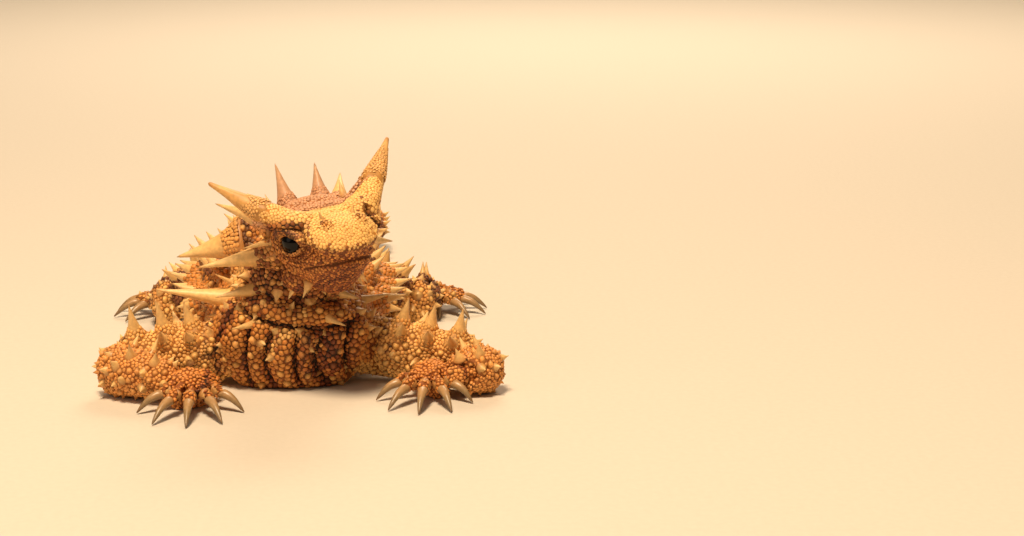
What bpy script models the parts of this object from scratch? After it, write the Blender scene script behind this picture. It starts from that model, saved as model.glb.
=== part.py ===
"""A thorny devil at life size, about 14 cm long, lying on its belly and elbows.

The chest faces -Y, the head is raised and turned to the animal's left (+X), and the trunk and
tail run back along +Y. Stations and spine sizes are in millimetres, and every mesh is made in
metres. The animal rests on the floor, z = 0, on the flats of its belly, tail, elbows and toes.
"""

import math
import random

import bmesh
import bpy
from mathutils import Matrix, Vector
from mathutils.bvhtree import BVHTree

MM = 0.001
GAP = 0.3  # clear space between two nodes that meet, mm
FLOOR = 0.0
UP = Vector((0, 0, 1))

# The row's origin is under the middle of the whole outline; the chest stands here from it, mm.
CHEST_AT = Vector((3.745, -50.109, 0.0))

# Where the head sits on the neck, and how it is turned, pitched up and rolled, degrees.
HEAD_AT = Vector((4.7, -1.5, 25.3))
HEAD_YAW, HEAD_PITCH, HEAD_ROLL = 32.5, 6.5, 5.0

# Half width and heights change along each line of stations: x, y, z, half width, above, below.
TORSO = (
    (-1.2, -1.6, 7.4, 11.0, 7.2, 11.0),
    (-1.6, 4.0, 9.0, 13.0, 8.8, 12.2),
    (-2.3, 13.0, 9.8, 13.6, 10.2, 12.2),
    (-3.8, 25.0, 10.0, 16.6, 11.6, 12.2),
    (-5.2, 36.0, 10.0, 17.4, 11.8, 12.2),
    (-6.3, 47.0, 9.6, 14.8, 10.8, 11.8),
    (-6.9, 55.0, 9.0, 10.8, 9.0, 10.8),
    (-7.0, 61.0, 8.4, 8.4, 7.4, 9.6),
)
NECK = (
    (-3.0, 10.5, 10.0, 11.0, 8.0, 9.0),
    (-2.4, 8.5, 14.5, 10.2, 8.2, 9.6),
    (-0.9, 6.2, 19.0, 8.6, 7.4, 8.2),
    (1.3, 3.6, 22.6, 7.2, 6.4, 6.6),
    (3.4, 1.0, 25.0, 5.8, 5.2, 5.2),
)
NAPE_HUMP = (
    (-4.2, 10.0, 16.0, 6.8, 5.0, 5.0),
    (-5.8, 12.8, 20.0, 7.2, 5.6, 5.6),
    (-7.2, 14.6, 24.2, 6.4, 5.2, 5.2),
    (-8.0, 15.6, 28.6, 4.6, 4.0, 4.0),
)
TAIL_BASE = (
    (-7.0, 56.0, 8.2, 7.2, 6.4, 9.4),
    (-7.0, 64.0, 7.4, 7.0, 6.0, 8.8),
    (-6.2, 74.0, 6.4, 6.0, 5.2, 7.6),
    (-4.2, 84.0, 5.8, 5.2, 4.6, 6.8),
)
TAIL_TIP = (
    (-4.8, 81.0, 5.9, 4.9, 4.4, 6.8),
    (-2.8, 89.0, 5.6, 4.7, 4.2, 6.4),
    (0.6, 98.0, 5.2, 4.0, 3.7, 5.6),
    (3.4, 106.5, 5.6, 3.4, 3.2, 3.8),
    (4.6, 114.5, 6.6, 2.7, 2.6, 2.7),
    (4.0, 121.0, 8.0, 2.1, 2.1, 2.1),
)
UPPER_ARMS = {
    "right": ((-7.0, 7.5, 8.2, 5.2, 4.8, 5.6), (-14.0, 6.2, 6.6, 4.6, 4.5, 5.8),
              (-22.0, 4.4, 5.6, 4.2, 4.3, 5.9), (-31.0, 2.0, 5.0, 4.1, 4.3, 5.7)),
    "left": ((4.0, 8.5, 8.2, 5.2, 4.8, 5.6), (11.5, 8.8, 6.6, 4.6, 4.5, 5.8),
             (21.0, 7.4, 5.4, 4.0, 4.0, 5.7), (29.9, 4.4, 4.5, 3.9, 3.9, 5.2)),
}
FOREARMS = {
    "right": ((-32.0, 0.8, 4.8, 3.7, 3.9, 5.8), (-28.0, -2.6, 4.8, 3.8, 3.7, 4.7),
              (-22.6, -5.6, 4.5, 3.4, 3.2, 3.8), (-18.6, -7.0, 3.9, 2.9, 2.5, 2.9)),
    "left": ((31.7, 3.2, 4.4, 3.5, 3.7, 5.2), (29.9, -0.4, 4.4, 3.5, 3.5, 4.4),
             (26.8, -1.8, 4.2, 3.1, 3.0, 3.5), (24.1, -1.6, 3.7, 2.7, 2.4, 2.8)),
}
THIGHS = {
    "right": ((-12.0, 54.0, 9.0, 6.0, 5.2, 5.8), (-17.6, 50.4, 8.6, 5.6, 5.0, 5.8),
              (-23.0, 46.8, 7.4, 4.8, 4.5, 5.4), (-28.0, 43.6, 5.8, 4.0, 4.0, 6.2)),
    "left": ((-2.0, 54.0, 9.0, 6.0, 5.2, 5.8), (4.0, 51.2, 8.6, 5.6, 5.0, 5.8),
             (10.0, 48.6, 7.4, 4.8, 4.5, 5.4), (15.6, 46.2, 5.8, 4.0, 4.0, 6.2)),
}
SHANKS = {
    "right": ((-28.4, 44.4, 5.6, 3.6, 3.8, 6.0), (-30.0, 49.6, 4.8, 3.5, 3.4, 4.4),
              (-29.8, 55.0, 4.2, 3.1, 2.9, 3.4), (-28.8, 59.4, 3.7, 2.8, 2.5, 2.8)),
    "left": ((16.0, 47.0, 5.6, 3.6, 3.8, 6.0), (18.0, 52.0, 4.8, 3.5, 3.4, 4.4),
             (18.2, 57.4, 4.2, 3.1, 2.9, 3.4), (17.4, 61.8, 3.7, 2.8, 2.5, 2.8)),
}
# Heel, middle and front of each palm or sole, then its toes: the way each points from -Y
# towards +X, in degrees, and how far its claw reaches from the middle of the paw.
PAWS = {
    "hand_right": (((-19.0, -6.0, 3.8, 3.7, 2.6, 4.6), (-16.2, -8.2, 3.5, 4.8, 2.5, 4.5),
                    (-14.4, -9.6, 3.2, 4.4, 2.1, 3.0)),
                   ((-62, 9.6), (-24, 12.0), (3, 12.6), (30, 12.0), (66, 9.4))),
    "hand_left": (((24.4, -0.3, 3.6, 3.4, 2.5, 4.4), (21.4, -1.7, 3.4, 4.4, 2.4, 4.4),
                   (19.6, -2.7, 3.1, 4.1, 2.0, 2.9)),
                  ((-68, 9.2), (-33, 11.4), (-6, 11.8), (21, 11.2), (56, 8.8))),
    "foot_right": (((-28.9, 59.0, 3.6, 3.4, 2.5, 4.4), (-30.8, 57.2, 3.4, 4.2, 2.4, 4.4),
                    (-32.6, 56.2, 3.1, 3.9, 2.0, 2.9)),
                   ((-128, 9.0), (-97, 10.6), (-70, 11.0), (-43, 10.8), (-10, 8.8))),
    "foot_left": (((17.5, 61.4, 3.6, 3.4, 2.5, 4.4), (19.6, 59.6, 3.4, 4.2, 2.4, 4.4),
                   (21.4, 58.6, 3.1, 3.9, 2.0, 2.9)),
                  ((127, 9.0), (97, 10.6), (70, 11.0), (43, 10.8), (11, 8.8))),
}
TOE_RADIUS, CLAW_RADIUS = 1.30, 0.92

# The head in its own frame, mm: x to the animal's left, y backwards, z up.
SKULL = (
    (0.0, 7.6, 1.4, 6.2, 5.2, 6.2),
    (0.0, 3.6, 1.4, 7.8, 6.1, 8.4),
    (0.0, -0.4, 1.4, 8.1, 5.4, 9.4),
    (0.0, -4.4, 1.2, 7.2, 4.6, 8.9),
    (0.0, -7.4, 0.8, 5.9, 3.9, 6.8),
    (0.0, -10.3, 0.2, 4.6, 2.5, 4.3),
)
SKULL_SQUARE = (2.8, 1.65)
# The cushion of the crown, which rises behind its rim.
CROWN = (
    (0.0, 7.0, 4.4, 4.4, 2.0, 3.0),
    (0.0, 3.6, 5.2, 5.8, 2.8, 3.0),
    (0.0, 0.4, 5.4, 6.0, 2.2, 3.0),
)
# The left brow, which the skull carries, and the horn that goes on from it.
BROW = (
    (3.2, -1.5, 3.9, 4.2, 2.5, 3.0),
    (6.4, -1.6, 5.2, 3.9, 2.3, 2.8),
    (8.8, -0.8, 7.0, 2.8, 2.2, 2.4),
    (11.0, 0.4, 8.8, 2.05, 1.8, 1.9),
)
HORN = (
    (8.8, -0.8, 7.0, 2.5, 2.1, 2.1),
    (10.8, 0.3, 8.6, 2.0, 1.8, 1.8),
    (12.8, 1.6, 10.4, 1.4, 1.25, 1.25),
    (14.7, 2.9, 12.2, 0.75, 0.7, 0.7),
    (16.5, 4.2, 13.9, 0.28, 0.28, 0.28),
)
# The raised rim of the crown, from the middle out to the left brow.
RIM = ((-1.0, -3.4, 5.2, 1.6, 0.9, 2.0), (2.6, -3.4, 5.5, 1.6, 0.9, 2.4),
       (6.8, -2.7, 6.7, 1.6, 0.8, 2.6))
# The left brow and horn stand higher than the right: their rise for each mm outwards.
BROW_TILT = {1: 0.05, -1: -0.06}
JAW_ANGLE_AT, JAW_ANGLE_SIZE = (4.9, 1.8, -4.6), (2.4, 3.2, 2.6)
EYE_AT, EYE_RADIUS = (6.5, -2.7, 1.9), 2.1
# The ring of both lids lies out along the eye's axis and is longer than it is high.
LID_OUT, LID_LONG, LID_HIGH, LID_THICK = 1.15, 2.35, 1.75, 0.68
EYE_LOOK = (0.93, -0.34, 0.02)
MOUTH_HEIGHT, MOUTH_BACK, MOUTH_DEEP, MOUTH_WIDE = -2.2, -3.6, 0.7, 0.5
LIP_GROW, LIP_HIGH = 0.3, 2.0
NOSTRIL_AT, NOSTRIL_RADIUS = (3.1, -7.9, 4.2), 0.6
EAR_AT, EAR_RADIUS = (7.7, 2.3, -2.6), 1.3

# Spines of the head: root on the animal's left, its tip there and on the right, root radius.
HEAD_SPINES = (
    ((2.9, 4.8, 6.0), (3.8, 7.0, 12.7), (3.4, 6.7, 13.8), 1.9),      # back of the crown
    ((6.2, 5.4, 4.6), (11.0, 12.5, 9.6), (12.2, 13.0, 8.5), 2.6),    # temple
    ((6.6, 5.6, -0.4), (17.6, 9.6, -3.4), (18.2, 10.6, -0.9), 2.6),  # behind the ear
    ((5.2, 1.8, -5.4), (6.9, 2.2, -8.4), (6.9, 2.2, -7.9), 1.1),     # corner of the jaw
    ((6.8, 4.2, 1.6), (11.4, 6.8, 1.2), (11.5, 6.8, 1.2), 1.1),      # behind the eye
    ((2.7, -6.1, 4.8), (2.9, -6.3, 7.2), (3.4, -6.4, 7.0), 0.8),     # over the nostril
    ((4.6, -1.4, -5.4), (6.0, -1.4, -7.6), (6.0, -1.4, -7.6), 0.8),  # lower jaw
    ((6.4, 3.6, 6.4), (6.8, 5.0, 9.4), (6.8, 5.0, 9.4), 0.9),        # beside the crown
)
NECK_SPINES = (
    ((-5.4, 2.4, 17.4), (-13.4, -1.0, 16.4), 2.0),
    ((5.2, 3.0, 16.6), (12.0, 3.4, 15.0), 1.8),
    ((-8.6, 8.8, 15.0), (-14.4, 5.4, 19.0), 1.5),
    ((-5.5, 1.6, 11.8), (-10.6, -4.2, 11.8), 1.5),
    ((3.6, 1.0, 13.0), (8.2, -3.6, 12.2), 1.3),
)
HUMP_SPINES = (
    ((-10.8, 13.6, 22.6), (-22.0, 14.0, 20.0), 3.8),
    ((-3.0, 14.6, 22.8), (8.0, 19.0, 22.4), 3.8),
    ((-9.8, 16.4, 23.8), (-15.0, 22.4, 26.0), 1.8),
    ((-5.0, 17.0, 24.0), (-2.6, 23.4, 26.4), 1.8),
)
SHOULDER_SPINES = (
    ((-8.4, 7.4, 13.8), (-24.4, 5.8, 16.2), 2.9),
    ((4.8, 8.6, 12.6), (14.6, 10.6, 14.4), 2.3),
)

SKIN_TONES = {
    "skin_ochre": (0.62, 0.36, 0.12, 1.0),
    "spine_pale": (0.80, 0.55, 0.25, 1.0),
    "eye_dark": (0.02, 0.012, 0.008, 1.0),
}

model = None
cutters = None


class Tube:
    """A length of body: unlike ovals strung on a smooth line, with both ends rounded off."""

    def __init__(self, stations, dorsal=UP, ends=(4.0, 4.0), place=None, square=(2.0, 2.0)):
        self.rows = [Vector(row) for row in stations]
        self.dorsal = Vector(dorsal)
        self.ends = ends
        self.place = place or Matrix.Translation(CHEST_AT)
        self.square = square
        self.steps = 12
        self.lengths = [0.0]
        last = self.rows[0].xyz
        for i in range(1, self.steps * (len(self.rows) - 1) + 1):
            here = self.row_at(i / self.steps).xyz
            self.lengths.append(self.lengths[-1] + (here - last).length)
            last = here
        self.length = self.lengths[-1]

    def row_at(self, t):
        """Catmull-Rom between the stations, all six values alike."""
        i = min(int(t), len(self.rows) - 2)
        u = t - i
        b, c = self.rows[i], self.rows[i + 1]
        a = self.rows[i - 1] if i > 0 else 2 * b - c
        d = self.rows[i + 2] if i + 2 < len(self.rows) else 2 * c - b
        return 0.5 * (2 * b + (c - a) * u + (2 * a - 5 * b + 4 * c - d) * u**2
                      + (3 * b - a - 3 * c + d) * u**3)

    def station_of(self, s):
        """The station number at a share s of the length."""
        want = max(0.0, min(1.0, s)) * self.length
        for i in range(1, len(self.lengths)):
            if self.lengths[i] >= want:
                step = max(self.lengths[i] - self.lengths[i - 1], 1e-9)
                return (i - 1 + (want - self.lengths[i - 1]) / step) / self.steps
        return float(len(self.rows) - 1)

    def oval(self, s):
        """Centre, the two cross directions and the half width, height and depth at s."""
        t = self.station_of(s)
        row = self.row_at(t)
        span = 0.05
        low, high = max(0.0, t - span), min(len(self.rows) - 1.0, t + span)
        along = (self.row_at(high).xyz - self.row_at(low).xyz).normalized()
        side = along.cross(self.dorsal).normalized()
        up = side.cross(along)
        shrink = 1.0
        for end, way in zip(self.ends, (s, 1.0 - s)):
            reach = way * self.length
            if reach < end:
                shrink *= math.sqrt(max(0.0, 1.0 - (1.0 - reach / end) ** 2))
        return row.xyz, side, up, shrink * Vector(row[3:6])

    def point(self, s, turn):
        """Surface point at s; turn is 0 on the back, 90 on the side and 180 below, degrees."""
        centre, side, up, (wide, above, below) = self.oval(s)
        c, k = math.cos(math.radians(turn)), math.sin(math.radians(turn))
        power = 2.0 / self.square[0 if c > 0 else 1]
        c = math.copysign(abs(c) ** power, c)
        k = math.copysign(abs(k) ** power, k)
        at = self.place @ (centre + side * (k * wide) + up * (c * (above if c > 0 else below)))
        at.z = max(at.z, FLOOR)
        return at

    def normal(self, s, turn):
        ds, dt = 0.01, 3.0
        along = self.point(min(1.0, s + ds), turn) - self.point(max(0.0, s - ds), turn)
        around = self.point(s, turn + dt) - self.point(s, turn - dt)
        return around.cross(along).normalized()

    def ring_places(self, rings):
        """Shares of the length for the rings, closer together on the rounded ends."""
        first, last = (min(0.45, end / self.length) for end in self.ends)
        cap = (0.0, 0.13, 0.5)
        body = [first + (1 - first - last) * i / (rings - 1) for i in range(rings)]
        return [c * first for c in cap] + body + [1 - c * last for c in reversed(cap)]

    def mesh(self, name, rings=6, sides=14, grow=0.0):
        """The closed skin of the tube, grown outwards along its normals."""
        bm = bmesh.new()
        places = self.ring_places(rings)
        loops = []
        for s in places[1:-1]:
            loops.append([bm.verts.new(self.point(s, -360.0 * i / sides) * MM)
                          for i in range(sides)])
        poles = [bm.verts.new(self.point(s, 0) * MM) for s in (places[0], places[-1])]
        for a, b in zip(loops, loops[1:]):
            for i in range(sides):
                j = (i + 1) % sides
                bm.faces.new((a[i], a[j], b[j], b[i]))
        for i in range(sides):
            j = (i + 1) % sides
            bm.faces.new((loops[0][j], loops[0][i], poles[0]))
            bm.faces.new((loops[-1][i], loops[-1][j], poles[1]))
        return finish(bm, name, grow)


def finish(bm, name, grow=0.0):
    """The bmesh as a smooth object, its faces pointing out, grown by so many millimetres."""
    bmesh.ops.recalc_face_normals(bm, faces=bm.faces)
    bm.normal_update()
    if grow:
        for vertex, normal in [(v, v.normal.copy()) for v in bm.verts]:
            vertex.co += normal * grow * MM
    mesh = bpy.data.meshes.new(name)
    bm.to_mesh(mesh)
    bm.free()
    made = bpy.data.objects.new(name, mesh)
    bpy.context.scene.collection.objects.link(made)
    return made


def ball(name, centre, size, place, segments=12, grow=0.0):
    """An ellipsoid given by its half sizes, in the frame of place."""
    bm = bmesh.new()
    bmesh.ops.create_uvsphere(bm, u_segments=segments, v_segments=segments * 2 // 3, radius=1.0)
    shape = Matrix.Diagonal((*size, 1.0))
    to_world = Matrix.Scale(MM, 4) @ place @ Matrix.Translation(Vector(centre)) @ shape
    bmesh.ops.transform(bm, matrix=to_world, verts=bm.verts)
    return finish(bm, name, grow)


def cone(name, root, tip, radius, sides=5, sink=0.35, bow=0.0, grow=0.0):
    """A spine: broad at its root, hollow-sided and sharp, bowed towards the floor by a share."""
    axis = tip - root
    length = axis.length
    frame = axis.to_track_quat("Z", "Y").to_matrix().to_4x4()
    bm = bmesh.new()
    loops = []
    for share, wide in ((-sink * radius / length, 1.08), (0.42, 0.5)):
        place = Matrix.Translation((root + axis * share - UP * bow * length * (share - share**2) * 2) * MM)
        ring = bmesh.ops.create_circle(bm, segments=sides, radius=radius * wide * MM,
                                       matrix=place @ frame)
        loops.append(ring["verts"])
    point = bm.verts.new(tip * MM)
    a, b = loops
    bm.faces.new(a)
    for i in range(sides):
        j = (i + 1) % sides
        bm.faces.new((a[i], a[j], b[j], b[i]))
        bm.faces.new((b[i], b[j], point))
    return finish(bm, name, grow)


def evaluated_mesh(obj):
    """The object's mesh with its modifiers applied, in place of its old one."""
    graph = bpy.context.evaluated_depsgraph_get()
    made = bpy.data.meshes.new_from_object(obj.evaluated_get(graph))
    obj.modifiers.clear()
    old, obj.data = obj.data, made
    bpy.data.meshes.remove(old)


def discard(obj):
    mesh = obj.data
    bpy.data.objects.remove(obj)
    bpy.data.meshes.remove(mesh)


def combine(base, others, operation):
    """Joins the other solids to base, or cuts them from it, and removes them. The solver is
    MANIFOLD, because EXACT leaves a paw whose toes touch along an edge."""
    if not others:
        return base
    group = bpy.data.collections.new("pieces")
    bpy.context.scene.collection.children.link(group)
    for other in others:
        bpy.context.scene.collection.objects.unlink(other)
        group.objects.link(other)
    step = base.modifiers.new(operation.lower(), "BOOLEAN")
    step.operation = operation
    step.operand_type = "COLLECTION"
    step.collection = group
    step.solver = "MANIFOLD"
    evaluated_mesh(base)
    for other in others:
        discard(other)
    bpy.data.collections.remove(group)
    return base


def keep_largest(obj):
    """Drops loose scraps and sealed hollows: only the largest closed surface stays."""
    bm = bmesh.new()
    bm.from_mesh(obj.data)
    bmesh.ops.remove_doubles(bm, verts=bm.verts, dist=1e-6)
    bmesh.ops.triangulate(bm, faces=bm.faces)
    left = set(bm.verts)
    islands = []
    while left:
        island, edge = set(), [left.pop()]
        while edge:
            v = edge.pop()
            island.add(v)
            for e in v.link_edges:
                o = e.other_vert(v)
                if o in left:
                    left.discard(o)
                    edge.append(o)
        islands.append(island)
    islands.sort(key=len)
    for island in islands[:-1]:
        bmesh.ops.delete(bm, geom=list(island), context="VERTS")
    bm.to_mesh(obj.data)
    bm.free()


def material(name):
    """One Principled finish of the animal's skin."""
    made = bpy.data.materials.get(name) or bpy.data.materials.new(name)
    made.use_nodes = True
    shader = made.node_tree.nodes["Principled BSDF"]
    shader.inputs["Base Color"].default_value = SKIN_TONES[name]
    shader.inputs["Roughness"].default_value = 0.12 if name == "eye_dark" else 0.62
    shader.inputs["Metallic"].default_value = 0.0
    return made


def node(name, base, joined=(), cut=(), finish_name="skin_ochre"):
    """Makes one node of the animal: its form, the pieces that grow from it, less its cuts."""
    combine(base, list(joined), "UNION")
    combine(base, list(cut), "DIFFERENCE")
    keep_largest(base)
    base.name = name
    base.data.name = name
    base.data.materials.clear()
    base.data.materials.append(material(finish_name))
    bpy.context.scene.collection.objects.unlink(base)
    model.objects.link(base)
    base.data.shade_smooth()
    base.data.set_sharp_from_angle(angle=math.radians(40))
    return base


def inside(tube, point, margin=0.0):
    """Whether a point in row millimetres is in the tube or within margin of it."""
    samples = 24
    for i in range(samples + 1):
        s = i / samples
        centre, side, up, (wide, above, below) = tube.oval(s)
        apart = point - tube.place @ centre
        along = side.cross(up)
        if abs(apart.dot(along)) > tube.length / samples:
            continue
        high = apart.dot(up)
        tall = above if high > 0 else below
        if (apart.dot(side) / (wide + margin)) ** 2 + (high / (tall + margin)) ** 2 < 1.0:
            return True
    return False


def spine_row(tube, turn, places, sizes, clear_of=(), lean=0.35, seed=1):
    """Spines along one line of a tube. sizes gives the length and root radius, mm, at each end
    of the row; lean tips them back along the body. One that meets another length is left out."""
    draw = random.Random(seed)
    made = []
    for k, s in enumerate(places):
        share = k / max(1, len(places) - 1)
        length = sizes[0][0] * (1 - share) + sizes[1][0] * share
        radius = sizes[0][1] * (1 - share) + sizes[1][1] * share
        length *= draw.uniform(0.82, 1.12)
        at = s + draw.uniform(-0.012, 0.012)
        round_by = turn + draw.uniform(-4, 4)
        root, out = tube.point(at, round_by), tube.normal(at, round_by)
        centre, side, up, _ = tube.oval(at)
        back = up.cross(side)
        way = (out + back * lean).normalized()
        tip = root + way * length
        if any(inside(other, root, 0.9 * radius) or inside(other, tip, 1.0) for other in clear_of):
            continue
        if tip.z < 0.3 or root.z < radius * 0.8:
            continue
        made.append(cone("spine", root - out * 0.3 * radius, tip, radius))
    return made


def set_spines(rows, place, grow=0.0):
    """Spines given one by one: where each is rooted, its tip and the radius of its root."""
    return [cone("spine", place @ Vector(root), place @ Vector(tip), radius, sides=6, sink=0.2,
                 grow=grow) for root, tip, radius in rows]


def head_spine_rows():
    rows = []
    for root, left, right, radius in HEAD_SPINES:
        rows.append((root, left, radius))
        rows.append((flipped(root), flipped(right), radius))
    return rows


def flipped(p):
    """A point or a station of the head's left side, carried over to its right side."""
    return (-p[0], *p[1:])


def spread(first, last, count):
    """Evenly spaced shares of a length."""
    return [first + (last - first) * i / (count - 1) for i in range(count)]


def head_place():
    turn = (Matrix.Rotation(math.radians(HEAD_YAW), 4, "Z")
            @ Matrix.Rotation(math.radians(-HEAD_PITCH), 4, "X")
            @ Matrix.Rotation(math.radians(-HEAD_ROLL), 4, "Y"))
    return Matrix.Translation(CHEST_AT + HEAD_AT) @ turn


def side_rows(rows, flip):
    """Stations of the brow, its rim or its horn on one side, at that side's height."""
    return [(x * flip, y, z + BROW_TILT[flip] * x, *sizes) for x, y, z, *sizes in rows]


def brow_tube(place, flip):
    return Tube(side_rows(BROW, flip), ends=(2.0, 1.4), place=place)


def crown_mesh(place, grow=0.0):
    crown = Tube(CROWN, ends=(2.6, 1.4), place=place, square=(2.4, 2.0))
    return crown.mesh("crown", rings=4, sides=18, grow=grow)


def make_head(place, skull):
    """The skull with its crown, brows, lids and lips, cut for eyes, ears, nostrils and mouth."""
    head = skull.mesh("skull", rings=9, sides=24)
    grown = [lip_band(place, skull), crown_mesh(place)] + set_spines(head_spine_rows(), place)
    cuts = [mouth_cut(place, skull)]
    for flip in (1, -1):
        def at(p):
            return flipped(p) if flip < 0 else p
        look, eye = Vector(at(EYE_LOOK)).normalized(), Vector(at(EYE_AT))
        grown.append(brow_tube(place, flip).mesh("brow", rings=4, sides=14))
        grown.append(Tube(side_rows(RIM, flip), ends=(0.8, 1.0),
                          place=place).mesh("rim", rings=3, sides=8))
        grown.append(ball("jaw_angle", at(JAW_ANGLE_AT), JAW_ANGLE_SIZE, place))
        grown.append(lid_ring(eye + look * LID_OUT, look, place))
        cuts.append(ball("socket", eye, [EYE_RADIUS + GAP] * 3, place, segments=16))
        cuts.append(ball("ear", at(EAR_AT), [EAR_RADIUS] * 3, place))
        cuts.append(ball("nostril", at(NOSTRIL_AT), [NOSTRIL_RADIUS] * 3, place, segments=8))
    return node("head", head, grown, cuts)


def lid_ring(centre, look, place):
    """The thick ring of both eyelids round the eye."""
    bm = bmesh.new()
    frame = look.to_track_quat("Z", "Y").to_matrix().to_4x4()
    ring = bmesh.ops.create_circle(
        bm, segments=6, radius=LID_THICK,
        matrix=Matrix.Translation((LID_LONG, 0, 0)) @ Matrix.Rotation(math.radians(90), 4, "X"))
    bmesh.ops.spin(bm, geom=ring["verts"] + list(bm.edges), cent=(0, 0, 0), axis=(0, 0, 1),
                   angle=math.tau, steps=14, use_merge=True)
    shape = Matrix.Diagonal((1, LID_HIGH / LID_LONG, 1, 1))
    to_world = Matrix.Scale(MM, 4) @ place @ Matrix.Translation(centre) @ frame @ shape
    bmesh.ops.transform(bm, matrix=to_world, verts=bm.verts)
    return finish(bm, "lids")


def snout_slab(place, thick):
    """A level slab through the front of the head at the height of the mouth."""
    bm = bmesh.new()
    bmesh.ops.create_cube(bm, size=1.0)
    deep = 14.0 + MOUTH_BACK
    middle = Vector((0, MOUTH_BACK - deep / 2, MOUTH_HEIGHT))
    shape = Matrix.Diagonal((24.0, deep, thick, 1.0))
    tilt = Matrix.Rotation(math.radians(-4), 4, "X")
    to_world = Matrix.Scale(MM, 4) @ place @ Matrix.Translation(middle) @ tilt @ shape
    bmesh.ops.transform(bm, matrix=to_world, verts=bm.verts)
    return finish(bm, "slab")


def mouth_cut(place, skull):
    """A thin band round the front of the snout, only as deep as the line of the lips."""
    core = skull.mesh("core", rings=9, sides=24, grow=-MOUTH_DEEP)
    return combine(snout_slab(place, MOUTH_WIDE), [core], "DIFFERENCE")


def lip_band(place, skull):
    """Both lips, standing a little out of the skull round the mouth."""
    swollen = skull.mesh("swollen", rings=9, sides=24, grow=LIP_GROW)
    return combine(swollen, [snout_slab(place, LIP_HIGH)], "INTERSECT")


def make_horns(place, skull):
    for side, flip in (("left", 1), ("right", -1)):
        horn = Tube(side_rows(HORN, flip), ends=(1.6, 0.4), place=place)
        cuts = [skull.mesh("near", rings=9, sides=24, grow=GAP), crown_mesh(place, GAP),
                brow_tube(place, flip).mesh("near", rings=4, sides=14, grow=GAP)]
        node(f"horn_{side}", horn.mesh("horn", rings=6, sides=12), cut=cuts,
             finish_name="spine_pale")


def make_eyes(place):
    for side, at in (("left", EYE_AT), ("right", flipped(EYE_AT))):
        node(f"eye_{side}", ball("eye", at, [EYE_RADIUS] * 3, place, segments=16),
             finish_name="eye_dark")


def trunk_spines(torso, near):
    """The rows of the back and flanks: small along the middle, largest along the sides."""
    rows = (
        (11, spread(0.30, 0.92, 8), ((2.6, 1.1), (2.8, 1.1)), 0.5),
        (32, spread(0.27, 0.94, 8), ((4.4, 1.8), (4.0, 1.6)), 0.45),
        (55, spread(0.32, 0.90, 7), ((5.0, 2.0), (4.2, 1.7)), 0.35),
        (78, spread(0.28, 0.84, 8), ((5.6, 2.1), (4.8, 1.9)), 0.25),
        (100, spread(0.34, 0.80, 6), ((3.8, 1.6), (3.4, 1.5)), 0.2),
    )
    made = []
    for k, (turn, places, sizes, lean) in enumerate(rows):
        for flip in (1, -1):
            made += spine_row(torso, turn * flip, places, sizes, near, lean, seed=20 + 2 * k + flip)
    return made


def tail_spines(tube, first, last, count, size, near=()):
    """Whorls of spines, two on the back and two on each flank."""
    made = []
    for turn, scale in ((24, 0.85), (68, 1.0), (104, 0.7)):
        for flip in (1, -1):
            sizes = tuple((length * scale, radius) for length, radius in size)
            made += spine_row(tube, turn * flip, spread(first, last, count), sizes, near,
                              lean=0.5, seed=int(turn) + flip)
    return made


def limb_spines(tube, rows, near=(), seed=5):
    """The few large spines on the upper side of a limb: turn, places, length and radius."""
    made = []
    for k, (turn, places, size) in enumerate(rows):
        made += spine_row(tube, turn, places, (size, size), near, lean=0.15, seed=seed + k)
    return made


def make_paw(name, palm_rows, toes, near):
    """A palm or sole with five short toes, each with a long claw down to the floor."""
    palm = Tube(palm_rows, ends=(1.8, 1.6))
    middle = Vector(palm_rows[1][:3])
    joined = []
    for k, (turn, reach) in enumerate(toes):
        way = Vector((math.sin(math.radians(turn)), -math.cos(math.radians(turn)), 0))
        rows = []
        for share, scale in ((0.0, 1.04), (0.34, 1.0), (0.60, 0.92)):
            at = middle + way * reach * share
            height = 3.6 - 1.3 * share + 0.09 * abs(k - 1.7)
            rows.append((at.x, at.y, height, *[TOE_RADIUS * scale] * 3))
        joined.append(Tube(rows, ends=(0.9, 1.0)).mesh("toe", rings=3, sides=8))
        root = palm.place @ (middle + way * reach * 0.52)
        tip = palm.place @ (middle + way * reach)
        root.z, tip.z = 2.9, 0.2
        joined.append(cone("claw", root, tip, CLAW_RADIUS, sides=6, sink=0.5, bow=-0.2))
    return node(name, palm.mesh("palm", rings=3, sides=12), joined,
                [leg.mesh("near", rings=5, sides=14, grow=GAP) for leg in near])


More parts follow.
